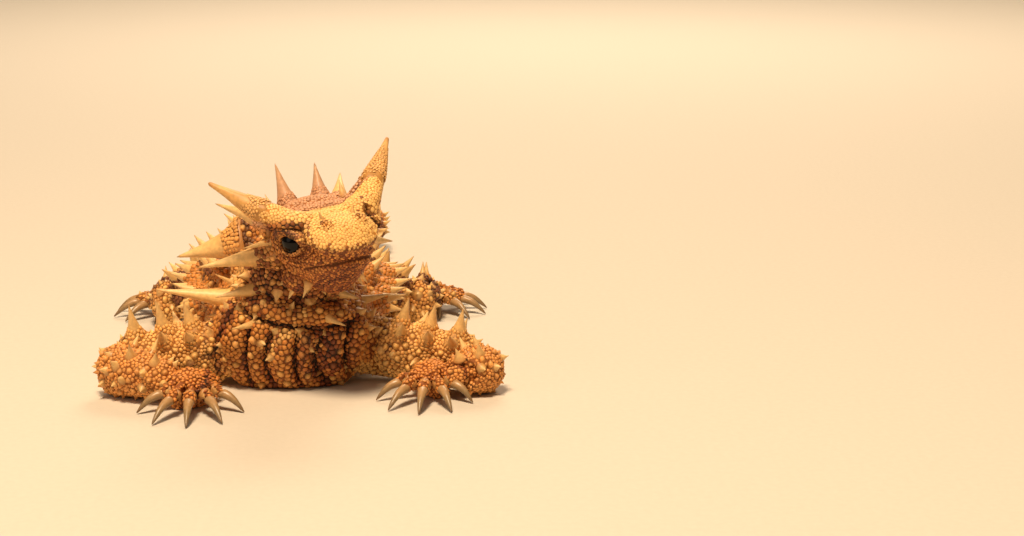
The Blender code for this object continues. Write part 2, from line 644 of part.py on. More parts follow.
def make_model():
    place = head_place()
    skull = Tube(SKULL, ends=(4.0, 2.6), place=place, square=SKULL_SQUARE)
    torso = Tube(TORSO, ends=(4.5, 4.0))
    neck = Tube(NECK, dorsal=(-0.3, 0.9, 0.4), ends=(3.0, 2.0))
    hump = Tube(NAPE_HUMP, dorsal=(0.1, 0.9, -0.3), ends=(2.0, 3.4))
    tail_base = Tube(TAIL_BASE, ends=(3.0, 2.4))
    tail_tip = Tube(TAIL_TIP, ends=(2.4, 2.2))
    arms = {side: Tube(rows, ends=(3.0, 3.6)) for side, rows in UPPER_ARMS.items()}
    forearms = {side: Tube(rows, ends=(3.2, 2.4)) for side, rows in FOREARMS.items()}
    thighs = {side: Tube(rows, ends=(3.6, 3.8)) for side, rows in THIGHS.items()}
    shanks = {side: Tube(rows, ends=(3.4, 2.4)) for side, rows in SHANKS.items()}
    world = Matrix.Translation(CHEST_AT)

    make_head(place, skull)
    make_horns(place, skull)
    make_eyes(place)

    def near_torso():
        return ([torso.mesh("near", rings=9, sides=20, grow=GAP)]
                + set_spines(SHOULDER_SPINES, world, grow=GAP))

    def near_head():
        corners = (JAW_ANGLE_AT, flipped(JAW_ANGLE_AT))
        return ([skull.mesh("near", rings=9, sides=24, grow=GAP)]
                + [ball("near", at, JAW_ANGLE_SIZE, place, grow=GAP) for at in corners]
                + set_spines(head_spine_rows(), place, grow=GAP))

    limbs = [*arms.values(), *thighs.values(), *forearms.values(), *shanks.values()]
    node("torso", torso.mesh("torso", rings=9, sides=20),
         trunk_spines(torso, [neck, hump, tail_base, *limbs]) + set_spines(SHOULDER_SPINES, world),
         set_spines(HUMP_SPINES, world, grow=GAP))
    node("neck", neck.mesh("neck", rings=6, sides=16), set_spines(NECK_SPINES, world),
         [*near_torso(), *near_head()])
    node("nape_hump", hump.mesh("hump", rings=5, sides=14), set_spines(HUMP_SPINES, world),
         [*near_torso(), *near_head(), neck.mesh("near", rings=6, sides=16, grow=GAP)])
    node("tail_base", tail_base.mesh("tail", rings=6, sides=14),
         tail_spines(tail_base, 0.34, 0.9, 4, ((3.6, 1.4), (3.2, 1.3)), [torso]),
         near_torso())
    node("tail_tip", tail_tip.mesh("tail", rings=8, sides=12),
         tail_spines(tail_tip, 0.22, 0.92, 6, ((3.0, 1.2), (1.6, 0.7))),
         [tail_base.mesh("near", rings=6, sides=14, grow=GAP)])

    for side, flip in (("left", -1), ("right", 1)):
        arm, forearm = arms[side], forearms[side]
        thigh, shank = thighs[side], shanks[side]
        arm_rows = ((-8 * flip, (0.46, 0.64, 0.84), (5.2, 2.2)),
                    (38 * flip, (0.55, 0.80), (3.4, 1.5)),
                    (-48 * flip, (0.48, 0.66, 0.84), (3.6, 1.6)))
        node(f"upper_arm_{side}", arm.mesh("arm", rings=5, sides=14),
             limb_spines(arm, arm_rows, [torso, forearm], seed=40 + flip), near_torso())
        forearm_rows = ((-20 * flip, (0.35, 0.62), (2.6, 1.1)), (25 * flip, (0.5, 0.75), (2.2, 1.0)))
        node(f"forearm_{side}", forearm.mesh("forearm", rings=4, sides=14),
             limb_spines(forearm, forearm_rows, [arm], seed=50 + flip),
             [arm.mesh("near", rings=5, sides=14, grow=GAP)])
        thigh_rows = ((-10 * flip, (0.5, 0.7, 0.9), (4.4, 1.7)), (40 * flip, (0.55, 0.8), (3.6, 1.4)),
                      (-50 * flip, (0.55, 0.8), (3.4, 1.4)))
        node(f"thigh_{side}", thigh.mesh("thigh", rings=5, sides=14),
             limb_spines(thigh, thigh_rows, [torso, shank, tail_base], seed=60 + flip),
             [*near_torso(), tail_base.mesh("near", rings=6, sides=14, grow=GAP)])
        shank_rows = ((0, (0.4, 0.65), (3.0, 1.2)), (50 * flip, (0.45, 0.7), (2.6, 1.1)))
        node(f"shank_{side}", shank.mesh("shank", rings=4, sides=14),
             limb_spines(shank, shank_rows, [thigh], seed=70 + flip),
             [thigh.mesh("near", rings=5, sides=14, grow=GAP)])
        make_paw(f"hand_{side}", *PAWS[f"hand_{side}"], [forearm, arm])
        make_paw(f"foot_{side}", *PAWS[f"foot_{side}"], [shank])


for old in list(bpy.data.objects):
    bpy.data.objects.remove(old)
model = bpy.data.collections.new("thorny_devil")
bpy.context.scene.collection.children.link(model)
make_model()
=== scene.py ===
"""A thorny devil at life size, lying on its belly with its head raised and turned.

Stations, spines and scales are given in millimetres in the animal's own plan, whose origin is
under the chest. The meshes are in metres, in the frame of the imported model.
"""

import math
import random

import bmesh
import bpy
import numpy as np
from mathutils import Matrix, Vector
from mathutils.bvhtree import BVHTree
from mathutils.kdtree import KDTree


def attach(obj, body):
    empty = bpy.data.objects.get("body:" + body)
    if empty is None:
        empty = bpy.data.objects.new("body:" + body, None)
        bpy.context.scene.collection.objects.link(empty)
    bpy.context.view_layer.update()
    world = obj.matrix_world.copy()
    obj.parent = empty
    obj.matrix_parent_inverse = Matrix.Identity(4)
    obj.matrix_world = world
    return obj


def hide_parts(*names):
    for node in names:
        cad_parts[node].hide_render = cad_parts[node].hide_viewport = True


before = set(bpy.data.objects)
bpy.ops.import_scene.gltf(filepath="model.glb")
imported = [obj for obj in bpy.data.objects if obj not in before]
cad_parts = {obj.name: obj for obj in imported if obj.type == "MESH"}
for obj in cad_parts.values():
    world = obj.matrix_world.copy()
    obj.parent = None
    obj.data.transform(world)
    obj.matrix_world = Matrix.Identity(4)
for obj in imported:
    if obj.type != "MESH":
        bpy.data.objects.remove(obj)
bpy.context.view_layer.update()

# Camera
# Level with the head and a little above it, looking almost straight back along the body, with a
# long lens. It keeps the photograph's framing.
MM = 0.001
CHEST_AT = Vector((3.745, -50.109, 0.0))  # the plan's origin in the frame, mm
CAMERA_AT = Vector((34.98, -318.50, 88.79))  # in the plan, mm


def add_object(name, data):
    """An object in the scene."""
    made = bpy.data.objects.new(name, data)
    bpy.context.scene.collection.objects.link(made)
    return made


camera = add_object("camera", bpy.data.cameras.new("camera"))
camera.data.lens = 70.3
camera.data.sensor_width = 36.0
camera.data.clip_start = 0.01
camera.location = (CAMERA_AT + CHEST_AT) * MM
camera.rotation_euler = (math.radians(78), 0, 0)
bpy.context.scene.camera = camera

# Studio
# A plain pale floor that carries on as a backdrop, and four soft lamps: a warm key high in front,
# a broad fill on the left, one behind for the edges of the spines and one for the backdrop.
def hex_colour(code):
    """An sRGB hex colour as the linear values that a shader takes."""
    shares = [int(code[i:i + 2], 16) / 255 for i in (1, 3, 5)]
    return [c / 12.92 if c <= 0.04045 else ((c + 0.055) / 1.055) ** 2.4 for c in shares] + [1.0]


def add_node(tree, kind, inputs=None, **settings):
    """Adds a shader node. inputs gives a socket's value, or the output that it is linked to."""
    made = tree.nodes.new(kind)
    for name, value in settings.items():
        setattr(made, name, value)
    for name, value in (inputs or {}).items():
        socket = made.inputs[name]
        if isinstance(value, bpy.types.NodeSocket):
            tree.links.new(value, socket)
        else:
            socket.default_value = value
    return made


def new_material(name):
    """An empty material: its node tree and its Principled shader."""
    made = bpy.data.materials.new(name)
    made.use_nodes = True
    return made, made.node_tree, made.node_tree.nodes["Principled BSDF"]


FLOOR_REACH, BACKDROP_HIGH, COVE = 1.6, 1.5, 0.5  # half the floor's side, rise behind and curve, m
bm = bmesh.new()
bmesh.ops.create_grid(bm, x_segments=1, y_segments=1, size=FLOOR_REACH)
back = [e for e in bm.edges if all(v.co.y > 0 for v in e.verts)]
risen = bmesh.ops.extrude_edge_only(bm, edges=back)
for v in [g for g in risen["geom"] if isinstance(g, bmesh.types.BMVert)]:
    v.co += Vector((0, 0.2, BACKDROP_HIGH))
corner = [e for e in bm.edges if all(v.co.y > 0 and v.co.z == 0 for v in e.verts)]
bmesh.ops.bevel(bm, geom=corner, offset=COVE, segments=16, profile=0.5, affect="EDGES", material=-1)
floor_mesh = bpy.data.meshes.new("studio_floor")
bm.to_mesh(floor_mesh)
bm.free()
floor_mesh.shade_smooth()
paper, tree, shader = new_material("matt_backdrop_paper")
grain = add_node(tree, "ShaderNodeTexNoise", {  # grain of about 1 mm, for an even matt ground
    "Vector": add_node(tree, "ShaderNodeTexCoord").outputs["Object"], "Scale": 900.0})
tone = add_node(tree, "ShaderNodeMix", {
    "Factor": grain.outputs["Fac"], "A": hex_colour("#d0c7ba"), "B": hex_colour("#d7cfc2")},
    data_type="RGBA")
tree.links.new(tone.outputs["Result"], shader.inputs["Base Color"])
shader.inputs["Roughness"].default_value = 0.85
floor_mesh.materials.append(paper)
studio_floor = add_object("studio_floor", floor_mesh)

for name, at, towards, size, watts, tint in (
        ("key_lamp", (-0.04, -0.28, 0.62), (0, -0.02, 0.015), 0.16, 5.9, "#ffe3bd"),
        ("fill_lamp", (-0.50, -0.45, 0.30), (0, -0.02, 0.015), 0.50, 0.50, "#ffeedb"),
        ("rim_lamp", (0.10, 0.55, 0.50), (0, -0.02, 0.015), 0.40, 2.2, "#ffe9cc"),
        ("backdrop_lamp", (0.05, 0.70, 0.65), (0.05, 1.10, 0.0), 0.60, 5.0, "#ffe9cc")):
    lamp = add_object(name, bpy.data.lights.new(name, "AREA"))
    lamp.data.shape = "DISK"
    lamp.data.size = size
    lamp.data.energy = watts
    lamp.data.color = hex_colour(tint)[:3]
    lamp.location = at
    lamp.rotation_euler = (Vector(towards) - lamp.location).to_track_quat("-Z", "Y").to_euler()
world = bpy.data.worlds.new("studio_air")
world.use_nodes = True
world.node_tree.nodes["Background"].inputs["Color"].default_value = hex_colour("#f7e2c8")
world.node_tree.nodes["Background"].inputs["Strength"].default_value = 0.14
bpy.context.scene.world = world
bpy.context.scene.view_settings.view_transform = "Standard"

# Trunk, neck and tail
# Flesh over the bones of the back: each length is a row of ovals, strung on a smooth line, and
# they sink into each other. The belly and the tail are flat where they lie on the floor.
SKIN_DEPTH = 0.22  # how far the skin lies inside the solids, under its scales, mm
TORSO = (  # x, y, z of the middle, half width, height above and depth below, mm
    (-1.2, -1.6, 7.4, 11.0, 7.2, 11.0),
    (-1.6, 4.0, 9.0, 13.0, 8.8, 12.2),
    (-2.3, 13.0, 9.8, 13.6, 10.2, 12.2),
    (-3.8, 25.0, 10.0, 16.6, 11.6, 12.2),
    (-5.2, 36.0, 10.0, 17.4, 11.8, 12.2),
    (-6.3, 47.0, 9.6, 14.8, 10.8, 11.8),
    (-6.9, 55.0, 9.0, 10.8, 9.0, 10.8),
    (-7.0, 61.0, 8.4, 8.4, 7.4, 9.6),
)
NECK = (
    (-3.0, 10.5, 10.0, 11.0, 8.0, 9.0),
    (-2.4, 8.5, 14.5, 10.2, 8.2, 9.6),
    (-0.9, 6.2, 19.0, 8.6, 7.4, 8.2),
    (1.3, 3.6, 22.6, 7.2, 6.4, 6.6),
    (3.4, 1.0, 25.0, 5.8, 5.2, 5.2),
)
NAPE_HUMP = (
    (-4.2, 10.0, 16.0, 6.8, 5.0, 5.0),
    (-5.8, 12.8, 20.0, 7.2, 5.6, 5.6),
    (-7.2, 14.6, 24.2, 6.4, 5.2, 5.2),
    (-8.0, 15.6, 28.6, 4.6, 4.0, 4.0),
)
TAIL_BASE = (
    (-7.0, 56.0, 8.2, 7.2, 6.4, 9.4),
    (-7.0, 64.0, 7.4, 7.0, 6.0, 8.8),
    (-6.2, 74.0, 6.4, 6.0, 5.2, 7.6),
    (-4.2, 84.0, 5.8, 5.2, 4.6, 6.8),
)
TAIL_TIP = (
    (-4.8, 81.0, 5.9, 4.9, 4.4, 6.8),
    (-2.8, 89.0, 5.6, 4.7, 4.2, 6.4),
    (0.6, 98.0, 5.2, 4.0, 3.7, 5.6),
    (3.4, 106.5, 5.6, 3.4, 3.2, 3.8),
    (4.6, 114.5, 6.6, 2.7, 2.6, 2.7),
    (4.0, 121.0, 8.0, 2.1, 2.1, 2.1),
)


class Tube:
    """A length of body: unlike ovals strung on a smooth line, with both ends rounded off."""

    def __init__(self, stations, dorsal=(0, 0, 1), ends=(4.0, 4.0), place=None, square=(2.0, 2.0)):
        self.rows = [Vector(row) for row in stations]
        self.dorsal = Vector(dorsal)
        self.ends = ends
        self.place = place or Matrix.Translation(CHEST_AT)
        self.square = square
        self.steps = 12
        self.lengths = [0.0]
        last = self.rows[0].xyz
        for i in range(1, self.steps * (len(self.rows) - 1) + 1):
            here = self.row_at(i / self.steps).xyz
            self.lengths.append(self.lengths[-1] + (here - last).length)
            last = here
        self.length = self.lengths[-1]

    def row_at(self, t):
        """A smooth curve through the stations, all six values alike."""
        i = min(int(t), len(self.rows) - 2)
        u = t - i
        b, c = self.rows[i], self.rows[i + 1]
        a = self.rows[i - 1] if i > 0 else 2 * b - c
        d = self.rows[i + 2] if i + 2 < len(self.rows) else 2 * c - b
        return 0.5 * (2 * b + (c - a) * u + (2 * a - 5 * b + 4 * c - d) * u**2
                      + (3 * b - a - 3 * c + d) * u**3)

    def station_of(self, s):
        """The station number at a share s of the length."""
        want = max(0.0, min(1.0, s)) * self.length
        for i in range(1, len(self.lengths)):
            if self.lengths[i] >= want:
                step = max(self.lengths[i] - self.lengths[i - 1], 1e-9)
                return (i - 1 + (want - self.lengths[i - 1]) / step) / self.steps
        return float(len(self.rows) - 1)

    def oval(self, s):
        """Centre, the two cross directions and the half width, height and depth at s."""
        t = self.station_of(s)
        row = self.row_at(t)
        low, high = max(0.0, t - 0.05), min(len(self.rows) - 1.0, t + 0.05)
        along = (self.row_at(high).xyz - self.row_at(low).xyz).normalized()
        side = along.cross(self.dorsal).normalized()
        up = side.cross(along)
        shrink = 1.0
        for end, way in zip(self.ends, (s, 1.0 - s)):
            reach = way * self.length
            if reach < end:
                shrink *= math.sqrt(max(0.0, 1.0 - (1.0 - reach / end) ** 2))
        return row.xyz, side, up, shrink * Vector(row[3:6])

    def point(self, s, turn, inward=0.0):
        """Surface point at s; turn is 0 on the back, 90 on the side and 180 below, degrees."""
        centre, side, up, sizes = self.oval(s)
        wide, above, below = (max(0.0, size - inward) for size in sizes)
        c, k = math.cos(math.radians(turn)), math.sin(math.radians(turn))
        power = 2.0 / self.square[0 if c > 0 else 1]
        c = math.copysign(abs(c) ** power, c)
        k = math.copysign(abs(k) ** power, k)
        at = self.place @ (centre + side * (k * wide) + up * (c * (above if c > 0 else below)))
        at.z = max(at.z, 0.0)
        return at

    def normal(self, s, turn):
        """The way straight out of the surface."""
        ds, dt = 0.01, 3.0
        along = self.point(min(1.0, s + ds), turn) - self.point(max(0.0, s - ds), turn)
        around = self.point(s, turn + dt) - self.point(s, turn - dt)
        return around.cross(along).normalized()


flesh = bmesh.new()  # every length of the body as a closed form, before they are made one skin


def add_flesh(tube, rings=26, sides=32):
    """Draws a sphere out into one length of the body."""
    ball = bmesh.ops.create_uvsphere(flesh, u_segments=sides, v_segments=rings, radius=1.0)
    for v in ball["verts"]:
        turn = math.degrees(math.atan2(v.co.y, v.co.x))
        v.co = tube.point((1 - v.co.z) / 2, turn, SKIN_DEPTH) * MM
    return tube


torso = add_flesh(Tube(TORSO, ends=(4.5, 4.0)), rings=44, sides=56)
neck = add_flesh(Tube(NECK, dorsal=(-0.3, 0.9, 0.4), ends=(3.0, 2.0)), sides=44)
hump = add_flesh(Tube(NAPE_HUMP, dorsal=(0.1, 0.9, -0.3), ends=(2.0, 3.4)), sides=36)
tail_base = add_flesh(Tube(TAIL_BASE, ends=(3.0, 2.4)), sides=36)
tail_tip = add_flesh(Tube(TAIL_TIP, ends=(2.4, 2.2)), rings=36, sides=28)

# Legs
# Short thick legs that lie on the floor by elbow and knee: an upper arm or thigh and a forearm
# or shank each, bent sharply between them.
UPPER_ARMS = {
    "right": ((-7.0, 7.5, 8.2, 5.2, 4.8, 5.6), (-14.0, 6.2, 6.6, 4.6, 4.5, 5.8),
              (-22.0, 4.4, 5.6, 4.2, 4.3, 5.9), (-31.0, 2.0, 5.0, 4.1, 4.3, 5.7)),
    "left": ((4.0, 8.5, 8.2, 5.2, 4.8, 5.6), (11.5, 8.8, 6.6, 4.6, 4.5, 5.8),
             (21.0, 7.4, 5.4, 4.0, 4.0, 5.7), (29.9, 4.4, 4.5, 3.9, 3.9, 5.2)),
}
FOREARMS = {
    "right": ((-32.0, 0.8, 4.8, 3.7, 3.9, 5.8), (-28.0, -2.6, 4.8, 3.8, 3.7, 4.7),
              (-22.6, -5.6, 4.5, 3.4, 3.2, 3.8), (-18.6, -7.0, 3.9, 2.9, 2.5, 2.9)),
    "left": ((31.7, 3.2, 4.4, 3.5, 3.7, 5.2), (29.9, -0.4, 4.4, 3.5, 3.5, 4.4),
             (26.8, -1.8, 4.2, 3.1, 3.0, 3.5), (24.1, -1.6, 3.7, 2.7, 2.4, 2.8)),
}
THIGHS = {
    "right": ((-12.0, 54.0, 9.0, 6.0, 5.2, 5.8), (-17.6, 50.4, 8.6, 5.6, 5.0, 5.8),
              (-23.0, 46.8, 7.4, 4.8, 4.5, 5.4), (-28.0, 43.6, 5.8, 4.0, 4.0, 6.2)),
    "left": ((-2.0, 54.0, 9.0, 6.0, 5.2, 5.8), (4.0, 51.2, 8.6, 5.6, 5.0, 5.8),
             (10.0, 48.6, 7.4, 4.8, 4.5, 5.4), (15.6, 46.2, 5.8, 4.0, 4.0, 6.2)),
}
SHANKS = {
    "right": ((-28.4, 44.4, 5.6, 3.6, 3.8, 6.0), (-30.0, 49.6, 4.8, 3.5, 3.4, 4.4),
              (-29.8, 55.0, 4.2, 3.1, 2.9, 3.4), (-28.8, 59.4, 3.7, 2.8, 2.5, 2.8)),
    "left": ((16.0, 47.0, 5.6, 3.6, 3.8, 6.0), (18.0, 52.0, 4.8, 3.5, 3.4, 4.4),
             (18.2, 57.4, 4.2, 3.1, 2.9, 3.4), (17.4, 61.8, 3.7, 2.8, 2.5, 2.8)),
}
arms = {side: add_flesh(Tube(rows, ends=(3.0, 3.6))) for side, rows in UPPER_ARMS.items()}
forearms = {side: add_flesh(Tube(rows, ends=(3.2, 2.4))) for side, rows in FOREARMS.items()}
thighs = {side: add_flesh(Tube(rows, ends=(3.6, 3.8))) for side, rows in THIGHS.items()}
shanks = {side: add_flesh(Tube(rows, ends=(3.4, 2.4))) for side, rows in SHANKS.items()}

# Hands and feet
# A small thick palm or sole with five short toes spread on the floor. The claws come later, as
# pieces of their own.
PAWS = {  # heel, middle and front; then each toe's way from -Y towards +X, degrees, and reach
    "hand_right": (((-19.0, -6.0, 3.8, 3.7, 2.6, 4.6), (-16.2, -8.2, 3.5, 4.8, 2.5, 4.5),
                    (-14.4, -9.6, 3.2, 4.4, 2.1, 3.0)),
                   ((-62, 9.6), (-24, 12.0), (3, 12.6), (30, 12.0), (66, 9.4))),
    "hand_left": (((24.4, -0.3, 3.6, 3.4, 2.5, 4.4), (21.4, -1.7, 3.4, 4.4, 2.4, 4.4),
                   (19.6, -2.7, 3.1, 4.1, 2.0, 2.9)),
                  ((-68, 9.2), (-33, 11.4), (-6, 11.8), (21, 11.2), (56, 8.8))),
    "foot_right": (((-28.9, 59.0, 3.6, 3.4, 2.5, 4.4), (-30.8, 57.2, 3.4, 4.2, 2.4, 4.4),
                    (-32.6, 56.2, 3.1, 3.9, 2.0, 2.9)),
                   ((-128, 9.0), (-97, 10.6), (-70, 11.0), (-43, 10.8), (-10, 8.8))),
    "foot_left": (((17.5, 61.4, 3.6, 3.4, 2.5, 4.4), (19.6, 59.6, 3.4, 4.2, 2.4, 4.4),
                   (21.4, 58.6, 3.1, 3.9, 2.0, 2.9)),
                  ((127, 9.0), (97, 10.6), (70, 11.0), (43, 10.8), (11, 8.8))),
}
TOES, TOE_RADIUS = 5, 1.30

paws = {}
toe_lines = []  # the middle of each paw and the way and reach of each of its toes
for name, (palm_rows, toes) in PAWS.items():
    paws[name] = add_flesh(Tube(palm_rows, ends=(1.8, 1.6)), rings=18, sides=24)
    middle = Vector(palm_rows[1][:3])
    for k, (turn, reach) in enumerate(toes):
        way = Vector((math.sin(math.radians(turn)), -math.cos(math.radians(turn)), 0))
        toe_lines.append((name, middle, way, reach))
        toe_rows = []
        for share, scale in ((0.0, 1.04), (0.34, 1.0), (0.60, 0.92)):
            at = middle + way * reach * share
            height = 3.6 - 1.3 * share + 0.09 * abs(k - 1.7)
            toe_rows.append((at.x, at.y, height, *[TOE_RADIUS * scale] * 3))
        add_flesh(Tube(toe_rows, ends=(0.9, 1.0)), rings=14, sides=16)

# Head
# A short deep skull with a swollen brow over each eye, a raised rim across the front of the
# crown, heavy corners to the jaw and thick lids. It is measured in the head's own frame.
HEAD_AT = Vector((4.7, -1.5, 25.3))
HEAD_YAW, HEAD_PITCH, HEAD_ROLL = 32.5, 6.5, 5.0
SKULL = (  # x to the animal's left, y backwards, z up, half width, above, below, mm
    (0.0, 7.6, 1.4, 6.2, 5.2, 6.2),
    (0.0, 3.6, 1.4, 7.8, 6.1, 8.4),
    (0.0, -0.4, 1.4, 8.1, 5.4, 9.4),
    (0.0, -4.4, 1.2, 7.2, 4.6, 8.9),
    (0.0, -7.4, 0.8, 5.9, 3.9, 6.8),
    (0.0, -10.3, 0.2, 4.6, 2.5, 4.3),
)
SKULL_SQUARE = (2.8, 1.65)
BROW = (
    (3.2, -1.5, 3.9, 4.2, 2.5, 3.0),
    (6.4, -1.6, 5.2, 3.9, 2.3, 2.8),
    (8.8, -0.8, 7.0, 2.8, 2.2, 2.4),
    (11.0, 0.4, 8.8, 2.05, 1.8, 1.9),
)
RIM = ((-1.0, -3.4, 5.2, 1.6, 0.9, 2.0), (2.6, -3.4, 5.5, 1.6, 0.9, 2.4),
       (6.8, -2.7, 6.7, 1.6, 0.8, 2.6))
BROW_TILT = {1: 0.05, -1: -0.06}  # each brow's rise for each mm outwards: the left stands higher
CROWN = ((0.0, 7.0, 4.4, 4.4, 2.0, 3.0), (0.0, 3.6, 5.2, 5.8, 2.8, 3.0),
         (0.0, 0.4, 5.4, 6.0, 2.2, 3.0))
JAW_ANGLE_AT, JAW_ANGLE_SIZE = (4.9, 1.8, -4.6), (2.4, 3.2, 2.6)
BROW_RIDGE_AT, BROW_RIDGE_SIZE = (6.9, -4.0, 4.5), (1.5, 1.3, 2.0)
EYE_AT, EYE_RADIUS = (6.5, -2.7, 1.9), 2.1
EYE_LOOK = (0.93, -0.34, 0.02)
LID_OUT, LID_LONG, LID_HIGH, LID_THICK = 1.15, 2.50, 1.80, 0.52


def flipped(p):
    """A point of the head's left side, carried over to its right side."""
    return (-p[0], *p[1:])


def side_rows(rows, flip):
    """Stations of the brow, its rim or its horn on one side, at that side's height."""
    return [(x * flip, y, z + BROW_TILT[flip] * x, *sizes) for x, y, z, *sizes in rows]


head_place = (Matrix.Translation(CHEST_AT + HEAD_AT)
              @ Matrix.Rotation(math.radians(HEAD_YAW), 4, "Z")
              @ Matrix.Rotation(math.radians(-HEAD_PITCH), 4, "X")
              @ Matrix.Rotation(math.radians(-HEAD_ROLL), 4, "Y"))
skull = add_flesh(Tube(SKULL, ends=(4.0, 2.6), place=head_place, square=SKULL_SQUARE),
                  rings=40, sides=64)
add_flesh(Tube(CROWN, ends=(2.6, 1.4), place=head_place, square=(2.4, 2.0)), sides=40)


def add_lump(at, size):
    """An egg-shaped swelling of the head."""
    lump = bmesh.ops.create_uvsphere(flesh, u_segments=24, v_segments=16, radius=1.0)
    bmesh.ops.transform(flesh, verts=lump["verts"], matrix=(
        Matrix.Scale(MM, 4) @ head_place @ Matrix.Translation(at) @ Matrix.Diagonal((*size, 1.0))))


lid_frames = []
for flip in (1, -1):
    add_flesh(Tube(side_rows(BROW, flip), ends=(2.0, 1.4), place=head_place))
    add_flesh(Tube(side_rows(RIM, flip), ends=(0.8, 1.0), place=head_place), rings=18, sides=20)
    jaw_at, eye_at, look = (
        p if flip > 0 else flipped(p) for p in (JAW_ANGLE_AT, EYE_AT, EYE_LOOK))
    add_lump(jaw_at, [size - SKIN_DEPTH for size in JAW_ANGLE_SIZE])
    if flip > 0:  # the left brow comes down in a full ridge in front of the eye
        add_lump(BROW_RIDGE_AT, BROW_RIDGE_SIZE)
    look = Vector(look).normalized()
    lid_frame = (head_place @ Matrix.Translation(Vector(eye_at) + look * LID_OUT)
                 @ look.to_track_quat("Z", "Y").to_matrix().to_4x4())
    lid_frames.append(lid_frame)
    ring = bmesh.ops.create_circle(
        flesh, segments=12, radius=LID_THICK,
        matrix=Matrix.Translation((LID_LONG, 0, 0)) @ Matrix.Rotation(math.radians(90), 4, "X"))
    edges = list({e for v in ring["verts"] for e in v.link_edges})
    bmesh.ops.spin(flesh, geom=ring["verts"] + edges, cent=(0, 0, 0), axis=(0, 0, 1),
                   angle=math.tau, steps=40, use_merge=True)
    lid_verts = [v for v in flesh.verts if v.co.length > 0.5]  # in mm yet, so far out from the rest
    for v in lid_verts:  # the upper lid is the thicker and stands forward over the eye
        over = Vector((v.co.x, v.co.y, 0)).normalized()
        middle = over * LID_LONG
        thick = 1.24 + 0.36 * over.y
        v.co = middle + (v.co - middle) * thick + Vector((0, -0.34 * max(0.0, over.y), 0.2 * over.y))
    bmesh.ops.transform(flesh, verts=lid_verts, matrix=(
        Matrix.Scale(MM, 4) @ lid_frame @ Matrix.Diagonal((1, LID_HIGH / LID_LONG, 1, 1))))

# Skin
# One skin over all of the flesh, thin and horny, creased where it folds. The lengths are made
# one closed surface, softened where they meet, and the creases, lips, nostrils and ears are
# pressed into it. It replaces all the nodes of flesh.
VOXEL, SOFTENED = 0.27, 7  # grain of the one surface, mm, and how often it is smoothed
bmesh.ops.recalc_face_normals(flesh, faces=flesh.faces)
skin_mesh = bpy.data.meshes.new("skin")
flesh.to_mesh(skin_mesh)
flesh.free()
skin = add_object("skin", skin_mesh)


def apply_modifiers(piece):
    """Gives the piece the mesh that its modifiers make."""
    made = bpy.data.meshes.new_from_object(
        piece.evaluated_get(bpy.context.evaluated_depsgraph_get()))
    piece.modifiers.clear()
    old, piece.data = piece.data, made
    bpy.data.meshes.remove(old)
    made.name = piece.name


union = skin.modifiers.new("union", "REMESH")
union.mode = "VOXEL"
union.voxel_size = VOXEL * MM
apply_modifiers(skin)
soften = skin.modifiers.new("soften", "SMOOTH")
soften.factor = 0.5
soften.iterations = SOFTENED
apply_modifiers(skin)


def positions(mesh):
    """The mesh's vertices in millimetres, as an array."""
    flat = np.empty(len(mesh.vertices) * 3, np.float32)
    mesh.vertices.foreach_get("co", flat)
    return flat.reshape(-1, 3) / MM


def normals(mesh):
    """The way out at each vertex, as an array."""
    flat = np.empty(len(mesh.vertices) * 3, np.float32)
    mesh.vertices.foreach_get("normal", flat)
    return flat.reshape(-1, 3)


def bell(distance, width):
    """A smooth hump: 1 where the distance is 0, and hardly anything past twice the width."""
    return np.exp(-(distance / width) ** 2)


def step(low, high, value):
    """A smooth rise from 0 at low to 1 at high."""
    t = np.clip((value - low) / (high - low), 0.0, 1.0)
    return t * t * (3 - 2 * t)


HEAD_MIDDLE = (0, -1.5, 0)
NOSTRIL_AT, EAR_AT = (3.1, -7.9, 4.2), (7.7, 2.3, -2.6)


def seen_from(place, points):
    """Points of the frame, mm, in the frame of the head or of a pair of lids."""
    back = np.array(place.inverted())
    return points @ back[:3, :3].T + back[:3, 3]


def in_head(points):
    """x, y and z in the head's frame, and the same as rows with the right side laid on the left."""
    x, y, z = seen_from(head_place, points).T
    return x, y, z, np.stack((np.abs(x), y, z), axis=1)


def in_plan(points):
    """x, y and z in the animal's plan."""
    return (points - np.array(CHEST_AT)).T


def head_share(aside):
    """1 on the head, fading to 0 along the neck."""
    return step(16.0, 13.0, np.linalg.norm(aside - HEAD_MIDDLE, axis=1))


def mouth_height(y):
    """How high the line of the lips lies at y in the head's frame."""
    return -2.2 - 0.07 * (y + 8.8)


def shield_edge(y):
    """The lower edge of the smooth shield of the face: how high it lies at y in the head's frame."""
    return 2.6 + 0.577 * (np.minimum(y, -3.6) + 4.6)


def rim_crease(aside, width):
    """The groove across the crown behind its raised rim: 1 along its middle."""
    wide, y, z = aside.T
    groove = -1.35 + 0.012 * wide**2
    return bell(y - groove, width) * step(3.2, 4.4, z) * step(9.5, 7.5, wide)


def chest_folds(x, z):
    """The upright folds of the chest: 0 down in a groove and 1 on the ridge beside it."""
    return np.abs(np.sin(math.pi * (x + 1.0 * np.sin(0.32 * z) + 0.6 * np.sin(0.8 * x)) / 4.2))


def collar_height(x):
    """How high the crease runs across the foot of the throat, above the folds of the chest."""
    return 11.2 + 0.02 * (x - 3.0) ** 2


